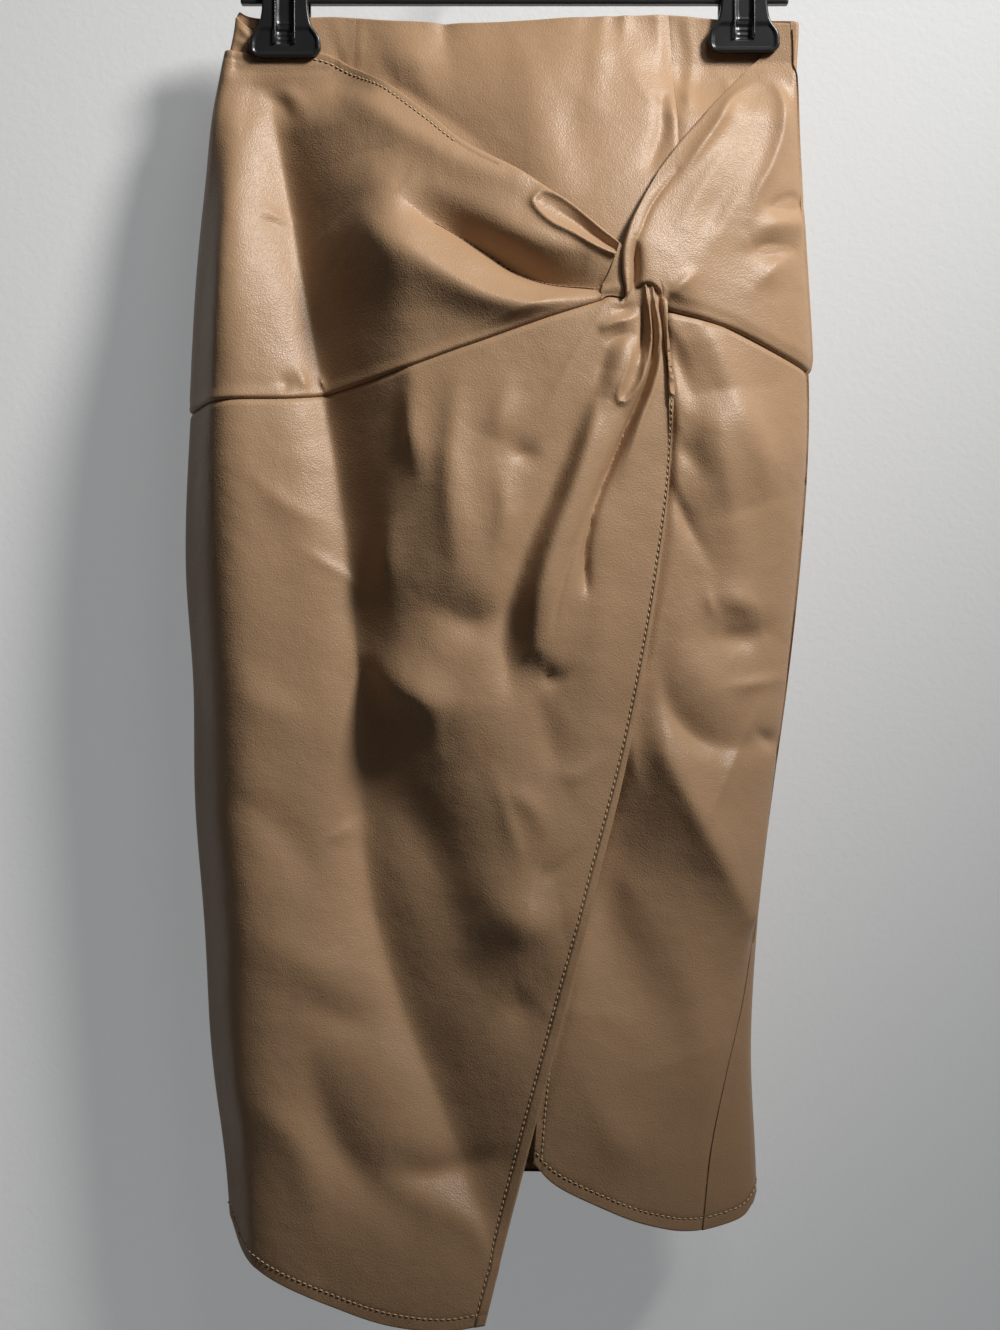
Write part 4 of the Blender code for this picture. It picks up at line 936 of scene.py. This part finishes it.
# %% Drapes' edges and folds
DRAPE_LEFT_TOP = metres(
    (-169.8, 18.5), (-158.1, 20), (-140, 20), (-120, 19), (-109, 20.8), (-91, 29.9), (-46.1, 64.3),
    (-19.9, 87.3), (12, 104.4), (35.9, 120.6), (70.5, 149),
)
DRAPE_RIGHT_TOP = metres((181.2, 6), (157.6, 27.3), (128.5, 59.7), (110, 81.6), (95, 103))
DRAPE_RIGHT_ROLL = metres((95, 103), (82.8, 125), (75.4, 141.6), (72.2, 154.1), (73.5, 182.5))
DRAPE_LEFT_FOLDS = (
    ((-56, 106, 0,  -22, 123, 3.4,  20, 146, 6.6,  52, 155, 4), (13, 9, 1.2, 0.5)),
    ((70.6, 149, 3.2,  60.5, 142.5, 3,  50.4, 133.5, 2.8,  38.6, 124, 2.6,  26.8, 119, 2.2,
      21.8, 121.5, 2.4,  20, 125.7, 2.6,  24.3, 132.5, 3,  31.9, 139.2, 3.4,  42, 144.3, 3.6,
      55.5, 151.9, 3.8,  67.3, 156.2, 3.8), (2.4, 2.2, 1, 0.5)),
    ((29, 126.5, 0,  42, 135, -1.6,  56, 145.2, -2.4,  68, 152.2, -2.4), (3, 2.2, 1, 0.6)),
    ((-86, 122, 0,  -74, 139, 5,  -52, 159, 10,  -25, 176, 11.6,  -6, 185, 11.2,  16.1, 189.8, 9.6,
      35, 189.2, 7.4,  58.6, 184.8, 3.6), (25, 3.4, 0.75, 0.45)),
    ((-118, 35, 0.6,  -85, 58, 3.6,  -50, 84, 4.4,  -20, 101, 4,  8, 111, 2.6), (12, 12, 1, 0.8)),
    ((-147, 121, 0.4,  -139, 126, 1.4,  -131, 129, 0.4), (2.6, 3, 0.8, 0.3)),
    ((-150, 129, -0.2,  -142, 130, -1.2,  -135, 134, -0.2), (3, 3, 1, 0.4)),
    ((-125, 220, 0.8,  -121, 229, 3,  -119.5, 236, 1.8), (3, 2.4, 0.8, 0.3)),
    ((-111, 225, 0.6,  -107, 230, 2.4,  -104, 235, 1.4), (2.4, 2, 0.8, 0.3)),
    ((-133, 224, -0.4,  -130, 231, -2,  -129, 237, -1), (3, 2.4, 1, 0.4)),
    ((-138, 40, 1,  -129, 46, 4,  -119, 59, 1), (4, 6, 1, 0.5)),
    ((-145, 47, -0.8,  -136, 52, -2.6,  -127, 64, -0.8), (3.4, 5, 1, 0.5)),
)
DRAPE_RIGHT_FOLDS = (
    ((160, 60, 0.8,  134, 115, 2.4,  104, 170, 1.6), (26, 18, 1, 1)),
    ((133, 90, 0.4,  121, 112, 1.2,  108, 136, 0.4), (5, 6, 1, 0.8)),
    ((148, 108, 0.4,  133, 134, 1.2,  120, 156, 0.4), (6, 7, 1, 0.8)),
    ((160, 40, 1,  149, 47.5, 3.4,  140, 58, 4.2,  128.6, 76, 4.2,  119, 90, 3.4,  109, 106, 0.8),
     (4.6, 5, 1, 0.4)),
    ((160, 39, 1,  169, 42, 3,  172.8, 56, 4.2,  170, 76, 4.8,  163, 96, 4.6,  154.5, 113, 3.6,
      150, 129, 1), (4.4, 5.6, 1, 0.4)),
    ((106, 103, -0.8,  90.5, 125, -1.8,  81.5, 146, -1), (2, 2, 1, 0.4)),
    ((185, 115, -4,  174, 118, -6,  162, 121.5, -1), (3.6, 4, 1, 0.5)),
    ((182, 129, 2,  164, 133, 3.6,  150, 143, 1), (7, 8, 1, 0.7)),
    ((176, 145, -2,  162, 147, -3.4,  148, 150, -0.8), (6, 6, 1, 0.6)),
    ((172, 152, 1,  162, 162, 3,  152, 173, 1), (6, 7, 1, 0.6)),
    ((142, 104, -0.6,  130, 124, -2,  120, 145, -0.6), (8, 9, 1, 0.8)),
    ((79.9, 147, -1,  79.9, 158, -6.6,  79.8, 169, -7.4,  78.5, 178, -6), (2, 2.2, 1, 0.7)),
    ((98, 183, 2,  108, 173, 2.6,  118, 165, 0.6), (3, 6, 1, 0.5)),
)
print(len(DRAPE_LEFT_FOLDS), "folds on the left drape and", len(DRAPE_RIGHT_FOLDS), "on the right one")

# %% [markdown]
# ## Laying the drapes
# A drape lies flat where a clip grips it and looser past it. At the hip seam it comes
# down onto the lower front and sinks into the seam. Where the two cross, the right one
# stands out over the left one, and the narrow band of the tuck fills the slit.

# %% Left drape
BAND_STITCH = 0.0050  # from the drape's top edge to its row of stitches
BODY_ROLL, ROLL_SHARE = 0.0028, 0.9  # how round the soft top edges roll over, and how deep
ROLLED = (-0.030, 0.040)  # where, across, the stitched band becomes the soft roll
MEETS_OVER = TUCKED - 0.0020  # a drape comes down onto the lower front over this drop
LOOSE_OVER = 0.03  # a drape is loose once the clips close the tube by this much less than fully
LEFT_SEAM_ROUND, LEFT_OVER_FRONT = 0.0026, 0.0010  # how round it turns in there, and how far out
DRAPE_GRIDS = {"left": (230, 130), "right": (130, 150)}


def resting_lift(across, drop):
    """How far a drape lies out where it has no fold: flat in a clip, looser past it."""
    loose = smooth((1 - closed_by_clips(across, drop)) / LOOSE_OVER)
    return GRIPPED_LAYER + (DRAPE_LAYER - GRIPPED_LAYER) * loose


columns, rows = DRAPE_GRIDS["left"]
u, v = both_ends(columns, (1.0, 2.4, 0.16)), both_ends(rows)
slit = (DRAPE_LEFT_TOP[-1], HIP_SEAM_LEFT[-1])
top, bottom = front_edge(u, DRAPE_LEFT_TOP), front_edge(u, HIP_SEAM_LEFT)
left, right = side_seam((top[0, 1], bottom[0, 1]), v, right=False), front_edge(v, slit)
top[0], bottom[0] = left[0], left[-1]
places, near, across, drop = measured(filled(top, bottom, left, right, u, v), SEAM_GAP / 2)
free, calm = 1 - closed_by_clips(across, drop), smooth(near["left"] / CALM_AT_SIDE)
own = fold_lift(DRAPE_LEFT_FOLDS, across, drop) * calm * free
own = resting_lift(across, drop) + np.maximum(own, -BODY_ROLL * free)
rolled = step(across, *ROLLED)
own -= rounded(near["top"], TOP_ROUND) * (1 - rolled)
own -= rounded(near["top"], BODY_ROLL) * ROLL_SHARE * rolled
meets = smooth(1 - near["bottom"] / MEETS_OVER)
at_seam = overlap_lift(across, drop) * calm + LEFT_OVER_FRONT
lift = own * (1 - meets) + at_seam * meets - rounded(near["bottom"], LEFT_SEAM_ROUND)
turned = np.where(across < 0.0, near["top"], FAR)
banded = np.where(across < 0.0, np.abs(near["top"] - BAND_STITCH), FAR)
obj, outer, normals = cloth("drape_left_cloth", places, lift, turned=turned, from_stitch=banded)
rows_to_sew["drape_band"] = (near["top"], outer, normals, 0, BAND_STITCH)

# %% Right drape and tuck
LEAST_LIFT = 0.0018  # the right drape never lies deeper than this
LOOP_RAISED = 0.0056  # how much further out it stands where it crosses the left one
RAISED_ACROSS, RAISED_DROP = (0.132, -0.060), (0.100, 0.060)  # where that starts, and over what
LOOP_ROLL, LOOP_END = 0.0026, (0.100, -0.006)  # how round the loop's lower edge is, and where it ends
BESIDE_LOOP, SEAM_HIGH = (0.094, 0.006), 0.016  # the drape comes down to the seam beside the loop
MEETS_BESIDE = (0.092, 0.014)
RIGHT_SEAM_ROUND, RIGHT_OVER_FRONT = 0.0032, 0.0016  # as for the left drape
TUCK_LAYER, TUCK_SINKS, TUCK_LOW = 0.0048, 0.0018, 0.005  # how far it lies out, and sinks at its foot

columns, rows = DRAPE_GRIDS["right"]
u, v = both_ends(columns, (0.0, 1.6, 0.2)), both_ends(rows, (0.8, 0.8, 0.2))
top, bottom = front_edge(u, DRAPE_RIGHT_TOP[::-1]), front_edge(u, LOOP_ARCH, HIP_SEAM_RIGHT)
left = front_edge(v, DRAPE_RIGHT_ROLL)
right = side_seam((DRAPE_RIGHT_TOP[0][1], HIP_SEAM_RIGHT[-1][1]), v, right=True)
top[-1], bottom[-1] = right[0], right[-1]
places, near, across, drop = measured(filled(top, bottom, left, right, u, v), SEAM_GAP / 2)
free, calm = 1 - closed_by_clips(across, drop), smooth(near["right"] / CALM_AT_SIDE)
own = resting_lift(across, drop) + fold_lift(DRAPE_RIGHT_FOLDS, across, drop) * calm * free
over_seam = 1 - step(across, *BESIDE_LOOP) * (1 - smooth(near["bottom"] / SEAM_HIGH))
own += step(across, *RAISED_ACROSS) * LOOP_RAISED * step(drop, *RAISED_DROP) * over_seam
own = np.maximum(own, LEAST_LIFT)
own -= rounded(np.minimum(near["top"], near["left"]), BODY_ROLL) * ROLL_SHARE * free
in_loop = step(across, *LOOP_END)
own -= rounded(near["bottom"], LOOP_ROLL) * in_loop
meets = smooth(1 - near["bottom"] / MEETS_OVER) * step(across, *MEETS_BESIDE)
at_seam = underlap_lift(across, drop) * calm + RIGHT_OVER_FRONT
lift = own * (1 - meets) + at_seam * meets - rounded(near["bottom"], RIGHT_SEAM_ROUND) * (1 - in_loop)
obj, *_ = cloth("drape_right_cloth", places, lift)

u, v = shares(24), shares(40)
top, bottom = front_edge(u, metres((70.5, 149), (73.5, 152))), front_edge(u, KNOT_SEAM)
left, right = front_edge(v, slit), front_edge(v, (*metres((73.5, 152), (72.2, 160)), KNOT_SEAM[-1]))
places, near, across, drop = measured(filled(top, bottom, left, right, u, v), SIDE_GAP)
obj, *_ = cloth("twist_tuck_cloth", places, TUCK_LAYER - TUCK_SINKS * smooth(1 - near["bottom"] / TUCK_LOW))

# %% [markdown]
# ## The back
# The back is one plain panel. On the right its side seam swings towards the front below
# the knee, so the panel starts on the front of the tube and turns round its side. Two
# patches that share the side line keep the grid square on both faces. It has the same kind
# of creases as the front, longer and softer, below the two clips.

# %% Back panel
BACK_TOP = round_places((75, 0.5), (110, -0.5), (180, 1), (235, -1), (262, -6), (270, -3))
BACK_HEM = round_places(
    (50.8, 743.8), (66, 740), (78, 732.5), (90, 727), (135, 724), (180, 724), (225, 726), (270, 739),
)
BACK_HEM_AT_SIDE = 0.7270
BACK_FOLDS = (  # across is as seen from the front
    ((-132, 35, 1,  -105, 250, 9,  -70, 640, 5), (26, 50, 1.2, 0.4)),
    ((140, 35, 1,  100, 240, 9,  75, 600, 5), (26, 50, 0.9, 0.4)),
    ((-10, 60, -2,  12, 230, -6,  -12, 470, 0), (26, 50, 1, 1)),
    ((-40, 420, 0,  30, 520, 6,  10, 690, 4), (30, 40, 1, 0.7)),
    ((-140, 300, 1,  -80, 360, 4,  -10, 380, 1), (12, 16, 0.8, 0.4)),
    ((150, 360, 1,  90, 430, 4.4,  20, 450, 1), (12, 16, 0.9, 0.4)),
    ((-120, 480, 1,  -60, 540, 3.6,  0, 560, 1), (14, 16, 0.9, 0.5)),
    ((60, 30, 1,  50, 80, 3,  20, 140, 0.6), (8, 12, 1, 0.6)),
    ((-60, 20, -1,  -50, 70, -2.6,  -20, 120, -0.6), (8, 12, 1, 0.6)),
    ((110, 600, 1,  113, 660, 3,  118, 735, 2), (8, 9, 1, 0.5)),
)
BACK_GRID, ROUND_SIDE = (200, 240), 40  # columns and rows, and the columns up to the tube's side
CALM_AT_BACK_SIDE = 0.020

columns, rows = BACK_GRID
u_shares = (shares(ROUND_SIDE, (0.0, *ROUNDED)),
            shares(columns - ROUND_SIDE, (0.0, 3.0, 0.02), (1.0, 6.0, 0.01)))
left = side_seam((WAIST_TOP[-1][1], BACK_HEM[0][1]), both_ends(rows), right=True)
v = (left[:, 1] - left[0, 1]) / (left[-1, 1] - left[0, 1])
turn = along_edge(np.full(DENSE, 90.0), np.linspace(0.0, BACK_HEM_AT_SIDE, DENSE), v)
right = side_seam((BACK_TOP[-1][1], BACK_HEM[-1][1]), v, right=False) + np.array([360.0, 0.0])
patches = []
for u, (start, end) in zip(u_shares, ((left, turn), (turn, right))):
    ends = []
    for row, curve in ((0, BACK_TOP), (-1, BACK_HEM)):
        degrees, drops = dense(curve)
        kept = (degrees >= start[row, 0]) & (degrees <= end[row, 0])
        edge = along_edge(degrees[kept], drops[kept], u)
        edge[0], edge[-1] = start[row], end[row]
        ends.append(edge)
    patches.append(filled(*ends, start, end, u, v))
places = np.concatenate([patches[0], patches[1][:, 1:]], axis=1)
places, near, across, drop = measured(places, SIDE_GAP)
lift = fold_lift(BACK_FOLDS, across, drop)
lift *= smooth(np.minimum(near["left"], near["right"]) / CALM_AT_BACK_SIDE)
lift = lift * (1 - closed_by_clips(across, drop)) - seam_dip(near, "right")
lift -= rounded(near["bottom"], HEM_ROUND) + rounded(near["top"], TOP_ROUND) * TOP_SHARE
obj, outer, normals = cloth("back_cloth", places, lift, turned=np.minimum(near["top"], near["bottom"]),
                            from_stitch=np.abs(near["bottom"] - HEM_STITCH))
rows_to_sew["back_hem"] = (near["bottom"], outer, normals, 0, HEM_STITCH)

# %% [markdown]
# ## Rows of stitches
# A lockstitch shows as short raised dashes, each sunk at its ends where the needle went
# through. One dash is a small rounded bar of a few dozen faces. It is copied along each row,
# turned with the cloth, and a whole row is joined into one mesh. The row's line is found in
# the panel's own grid, at its distance from the edge.

# %% Stitches
STITCH_PITCH, STITCH_LONG, STITCH_THICK = 0.0036, 0.0025, 0.0009
PROUD = 0.35  # the share of its thickness by which a stitch stands higher than half sunk
ROWS = {  # where each row starts and ends, as shares of its edge
    "wrap_edge": (0.075, 0.995), "overlap_hem": (0.01, 0.965), "underlap_hem": (0.02, 0.995),
    "underlap_edge": (0.05, 0.985), "back_hem": (0.005, 0.995), "drape_band": (0.20, 0.60),
}


def thread_finish():
    """Twisted thread, a little paler than the cloth."""
    made, tree, shader = new_finish("tan_thread", Roughness=0.6)
    fibres = texture(tree, "Noise", "Fac", Scale=2600.0, Detail=2.0)
    tint = tinted(tree, fibres, (0.50, 0.35, 0.20), (0.90, 0.72, 0.47))
    tree.links.new(tint, shader.inputs["Base Color"])
    relief(tree, shader, (fibres, 0.00015, 0.6))
    return made


def stitch_line(distance, outer, normals, axis, inset):
    """The points and normals along a row of stitches, at its inset from the edge."""
    if axis == 1:
        distance, outer, normals = distance.T, outer.swapaxes(0, 1), normals.swapaxes(0, 1)
    if distance[0, 0] > distance[-1, 0]:
        distance, outer, normals = distance[::-1], outer[::-1], normals[::-1]
    points, ups = (
        np.array([read(inset, distance[:, k], *grid[:, k].T) for k in range(distance.shape[1])])
        for grid in (outer, normals)
    )
    return points, ups


def sew(name, row, start, end, finish):
    """A row of stitches along an edge, from start to end as shares of its length."""
    points, ups = stitch_line(*row)
    lengths = lengths_along(points)
    total = lengths[-1]
    count = int(total * (end - start) / STITCH_PITCH)
    bm = bmesh.new()
    for k in range(count):
        middle = total * start + (k + 0.5) * STITCH_PITCH
        low, at, high = read(middle + np.array([-0.5, 0.0, 0.5]) * STITCH_LONG, lengths, *points.T)
        up, along = read(middle, lengths, *ups.T), (high - low) / np.linalg.norm(high - low)
        up -= along * up.dot(along)
        up /= np.linalg.norm(up)
        beside = np.cross(along, up)
        for vertex in bmesh.ops.create_uvsphere(bm, u_segments=6, v_segments=5, radius=0.5)["verts"]:
            x, y, z = vertex.co
            vertex.co = at + along * z * STITCH_LONG + (beside * x + up * (y + PROUD)) * STITCH_THICK
    bmesh.ops.recalc_face_normals(bm, faces=bm.faces[:])
    print(count, "stitches, each", STITCH_LONG, "m long")
    piece(bm, name, finish)


thread = thread_finish()
for name, (start, end) in ROWS.items():
    sew(f"{name}_stitches", rows_to_sew[name], start, end, thread)

# %% [markdown]
# ## The hanger's finishes
# The jaws and the bar are moulded plastic with a faint spark texture, and the springs and
# the hook are steel. Noise in their own Object coordinates breaks up the gloss as mould
# texture does. The hook, the bar and the rear jaws already have the right shape, so those
# solids stay and only get a finish.

# %% Plastic and steel


def hard_finish(name, colour, roughness, metallic=0.0, spark_scale=900.0, depth=0.00008):
    """A moulded or drawn surface: its gloss and colour worn a little, its texture fine."""
    made, tree, shader = new_finish(name, Metallic=metallic)
    spark = texture(tree, "Noise", "Fac", Scale=spark_scale, Detail=2.0)
    wear = texture(tree, "Noise", "Fac", Scale=60.0, Detail=4.0)
    tint = tinted(tree, wear, shaded(colour, 0.85), shaded(colour, 1.2))
    tree.links.new(tint, shader.inputs["Base Color"])
    tree.links.new(spread(tree, wear, roughness - 0.06, roughness + 0.06), shader.inputs["Roughness"])
    relief(tree, shader, (spark, depth, 0.5))
    return made


finishes = {
    "black_plastic": hard_finish("black_plastic", (0.018, 0.0185, 0.020), 0.30),
    "spring_steel": hard_finish("darkened_spring_steel", (0.26, 0.26, 0.27), 0.25, metallic=1.0),
    "hook_steel": hard_finish("drawn_steel", (0.55, 0.55, 0.56), 0.22, 1.0, 300.0, 0.00003),
}
for name, obj in frame["nodes"].items():
    if obj.hide_render or "front_jaw" in name or "spring" in name:
        continue
    kind = "hook_steel" if "hook" in name else "black_plastic"
    obj.data.materials.clear()
    obj.data.materials.append(finishes[kind])
    print(name, "is", kind)

# %% [markdown]
# ## The clips' front jaws and springs
# A front jaw is moulded with a neck that widens into its pad, a fine raised rim round the
# pad, and a ribbed channel down the middle. Two legs of spring wire lie beside the channel,
# pass over the bar and press on the rear jaw. The jaw could be cut from a block with
# booleans, but a grid whose depth is worked out place by place gives the soft moulded steps.

# %% Front jaw and wire helpers
JAW_OUTLINE = metres(  # height above the pad's foot, and half width
    (0, 14.6), (0.8, 17.8), (3, 20.9), (8, 22), (12.5, 21.3), (15.5, 19.5), (18, 17.6), (21, 16),
    (25, 15.1), (55, 15),
)
JAW_FOOT = 0.0018  # the moulded pad's foot below its solid's
JAW_ROUND = 0.0014  # how round its outer edge is; below, a pair is where a step starts and over what
RIM_IN, PAD_SUNK, PAD_TOP = (0.0024, 0.0007), 0.0009, (0.0190, -0.003)  # the pad inside its rim
CHANNEL_SIDE, CHANNEL_FOOT, CHANNEL_DEEP = (0.0046, -0.0006), (0.0078, 0.0006), 0.0013
RIB_PITCH, RIB_HIGH, RIBS_TOP = 0.0032, 0.0006, (0.0240, -0.002)
JAW_COLUMNS, JAW_ROWS = 48, 90
FOOT_HIGH, FOOT_ROWS = 0.003, 16  # the rows lie closer over the jaw's foot
WIRE_HALF, WIRE_RADIUS, WIRE_BEND, WIRE_SIDES = 0.0060, 0.00055, 0.003, 10


def skinned(bm, rows, closed):
    """Faces between rows of vertices that follow each other, each row closed to a ring or not."""
    for near, far in zip(rows, rows[1:]):
        for k in range(len(near) - (not closed)):
            after = (k + 1) % len(near)
            bm.faces.new((near[k], near[after], far[after], far[k]))


def wire(bm, path, radius):
    """A round wire along a path of points, closed at both ends."""
    path = np.array(path)
    ways = np.gradient(path, axis=0)
    ways /= np.linalg.norm(ways, axis=1, keepdims=True)
    out, turns = np.array([1.0, 0.0, 0.0]), np.linspace(0.0, 2 * math.pi, WIRE_SIDES + 1)[:-1]
    rings = []
    for at, way in zip(path, ways):
        side = np.cross(way, out)
        rings.append([bm.verts.new(at + radius * (math.cos(t) * out + math.sin(t) * side)) for t in turns])
    skinned(bm, rings, closed=True)
    bm.faces.new(rings[0][::-1])
    bm.faces.new(rings[-1])


def jaw_depth(x, z, half):
    """How far the moulded face lies behind the jaw's front plane."""
    inside = np.minimum(half - np.abs(x), z)
    away = rounded(inside, JAW_ROUND) + PAD_SUNK * step(inside, *RIM_IN) * step(z, *PAD_TOP)
    channel = step(np.abs(x), *CHANNEL_SIDE) * step(z, *CHANNEL_FOOT)
    ribs = smooth(1 - np.abs((z % RIB_PITCH) / RIB_PITCH - 0.5) * 5) * step(z, *RIBS_TOP)
    return away + channel * (CHANNEL_DEEP - RIB_HIGH * ribs)


def finished(bm, name, kind, solid):
    """Makes the piece that stands for one hard solid."""
    bmesh.ops.recalc_face_normals(bm, faces=bm.faces[:])
    piece(bm, name, finishes[kind], solid)


print("a jaw's pad is", round(2 * float(JAW_OUTLINE[:, 1].max()), 3), "m wide")

# %% Front jaws and springs
for side, clip in CLIPS.items():
    low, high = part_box(f"clip_{side}_front_jaw")
    middle, foot = clip["across"] - HOOK_ACROSS, low.z - JAW_FOOT
    rise = np.concatenate([np.linspace(0.0, FOOT_HIGH, FOOT_ROWS)[:-1],
                           np.linspace(FOOT_HIGH, high.z - foot, JAW_ROWS - FOOT_ROWS + 1)])[:, None]
    half = interpolate(*JAW_OUTLINE.T, rise)
    t = np.linspace(-1.0, 1.0, JAW_COLUMNS)
    x = half * np.sign(t) * (1 - (1 - np.abs(t)) ** 1.5)  # closer columns at both sides
    z = np.broadcast_to(rise, x.shape)
    bm = bmesh.new()
    skinned(bm, [[bm.verts.new((middle + a, low.y + b, foot + c)) for a, b, c in zip(*row)]
                 for row in zip(x, jaw_depth(x, z, half), z)], closed=False)
    rim = [edge for edge in bm.edges if edge.is_boundary]
    grown = bmesh.ops.extrude_edge_only(bm, edges=rim)["geom"]
    for item in grown:
        if isinstance(item, bmesh.types.BMVert):
            item.co.y = high.y
    bmesh.ops.contextual_create(bm, geom=[item for item in grown if isinstance(item, bmesh.types.BMEdge)])
    finished(bm, f"clip_{side}_moulded_jaw", "black_plastic", f"clip_{side}_front_jaw")

    low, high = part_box(f"clip_{side}_spring")
    front, rear, top = low.y + WIRE_RADIUS, high.y - WIRE_RADIUS, high.z - WIRE_RADIUS
    bend = min(WIRE_BEND, (rear - front) / 2)
    over = [(front + bend - bend * math.cos(a), top - bend + bend * math.sin(a))
            for a in np.radians(np.linspace(0, 90, 7))]
    route = [(front + 0.0014, low.z), (front + 0.0005, low.z + 0.0003), (front, low.z + 0.0013)]
    route += [(front, z) for z in np.linspace(low.z + 0.003, top - bend - 0.001, 8)] + over
    route += [(rear - (y - front), z) for y, z in over[::-1]]
    route += [(rear, z) for z in np.linspace(top - bend - 0.001, low.z, 8)]
    bm = bmesh.new()
    for place in (middle - WIRE_HALF, middle + WIRE_HALF):
        wire(bm, [(place, y, z) for y, z in route], WIRE_RADIUS)
    finished(bm, f"clip_{side}_spring_wires", "spring_steel", f"clip_{side}_spring")

# %% [markdown]
# ## Wall and floor
# A plain pale wall stands just behind, as behind a garment hung at home, and a pale floor
# lies far below. A paler wall could be had from more light, but that would bleach the
# skirt, so the wall glows a little for the eye alone. It is clear when it is looked at from
# behind, so that the back can be seen too, in the wall's own shade.

# %% Stage
WALL_BEHIND, WALL_TOP, FLOOR_BELOW, STAGE_SIZE = 0.052, 1.2, 0.30, 6.0
WALL_GLOW = 0.24  # lifts the wall for the eye alone, not the light on the skirt


def stage_plane(name, middle, width, length, turn, finish):
    """A plane of the stage, which lies flat until it is turned up by turn degrees."""
    place = Matrix.Translation(middle) @ Matrix.Rotation(math.radians(turn), 4, "X")
    bm = bmesh.new()
    bmesh.ops.create_grid(bm, x_segments=1, y_segments=1, size=0.5,
                          matrix=place @ Matrix.Diagonal((width, length, 1.0, 1.0)))
    object_from(bm, name, finish)


def wall_paint():
    """Rolled paint that glows for the camera and in gloss, and is clear when seen from behind."""
    made, tree, shader = new_finish("pale_wall", Base_Color=(0.54, 0.545, 0.545, 1.0), Roughness=0.8,
                                    Emission_Color=(0.96, 0.98, 1.0, 1.0))
    relief(tree, shader, (texture(tree, "Noise", "Fac", Scale=260.0, Detail=3.0), 0.0006, 0.35))
    rays = tree.nodes.new("ShaderNodeLightPath").outputs
    seen = worked_out(tree, "MAXIMUM", rays["Is Camera Ray"], rays["Is Glossy Ray"])
    tree.links.new(worked_out(tree, "MULTIPLY", seen, WALL_GLOW), shader.inputs["Emission Strength"])
    clear, choose = tree.nodes.new("ShaderNodeBsdfTransparent"), tree.nodes.new("ShaderNodeMixShader")
    behind = tree.nodes.new("ShaderNodeNewGeometry").outputs["Backfacing"]
    for socket, output in zip(choose.inputs, (behind, shader.outputs[0], clear.outputs[0])):
        tree.links.new(output, socket)
    tree.links.new(choose.outputs[0], tree.nodes["Material Output"].inputs["Surface"])
    return made


floor_height = cad_low.z - FLOOR_BELOW
stage_plane("wall", (0.0, WALL_BEHIND, (floor_height + WALL_TOP) / 2), STAGE_SIZE, WALL_TOP - floor_height,
            90, wall_paint())
floor, *_ = new_finish("pale_floor", Base_Color=(0.62, 0.62, 0.61, 1.0), Roughness=0.7)
stage_plane("floor", (0.0, 0.0, floor_height), STAGE_SIZE, STAGE_SIZE, 0, floor)
print("the floor is at", round(floor_height, 3))

# %% [markdown]
# ## Light and camera
# A large soft light stands high on the right: a one-sided light is what shows cloth folds.
# A dim fill keeps the dark sides readable, and a light behind the wall shows the floor
# there. The camera looks level at the middle of the skirt, from a little over a metre away.

# %% Lights and camera
WARM = (1.0, 0.98, 0.95)
AIM = (0.0, 0.0, -0.15)
MAIN_AZIMUTH, MAIN_HEIGHT, MAIN_AWAY = math.radians(50), math.radians(35), 2.1
MAIN_WAY = (math.sin(MAIN_AZIMUTH) * math.cos(MAIN_HEIGHT),
            -math.cos(MAIN_AZIMUTH) * math.cos(MAIN_HEIGHT), math.sin(MAIN_HEIGHT))


def lamp(name, kind, place, target, energy, colour, **sizes):
    """A lamp that shines from a place at a target."""
    data = bpy.data.lights.new(name, kind)
    data.energy, data.color = energy, colour
    for key, value in sizes.items():
        setattr(data, key, value)
    way = np.array(target) - np.array(place)
    turned_up = math.acos(-way[2] / np.linalg.norm(way))
    placed(name, data, place).rotation_euler = (turned_up, 0.0, math.atan2(way[1], way[0]) - math.pi / 2)


lamp("main_light", "SPOT", np.array(AIM) + MAIN_AWAY * np.array(MAIN_WAY), AIM, 262.0, WARM,
     shadow_soft_size=0.24, spot_size=math.radians(38), spot_blend=1.0)
lamp("fill_light", "AREA", (0.62, -1.45, 1.05), (0.0, 0.0, -0.2), 3.6, (1.0, 0.98, 0.96), size=0.6)
lamp("rear_light", "AREA", (-0.9, 1.7, 0.7), (0.0, 0.0, -0.5), 14.0, (1.0, 1.0, 1.0), size=1.0)

world = bpy.data.worlds.new("studio")
bpy.context.scene.world = world
world.use_nodes = True
world.node_tree.nodes["Background"].inputs["Color"].default_value = (1.0, 1.0, 1.0, 1.0)
world.node_tree.nodes["Background"].inputs["Strength"].default_value = 0.014

CAMERA_BACK, CAMERA_DOWN = 1.25, 0.525
camera = bpy.data.cameras.new("camera")
camera.lens, camera.sensor_width, camera.sensor_fit = 54.4, 36.0, "AUTO"
eye = placed("camera", camera, (-HOOK_ACROSS, -CAMERA_BACK, -CAMERA_DOWN))
eye.rotation_euler = (math.pi / 2, 0.0, 0.0)
bpy.context.scene.camera = eye
bpy.context.scene.view_settings.view_transform = "Standard"
print("camera", CAMERA_BACK, "m away")
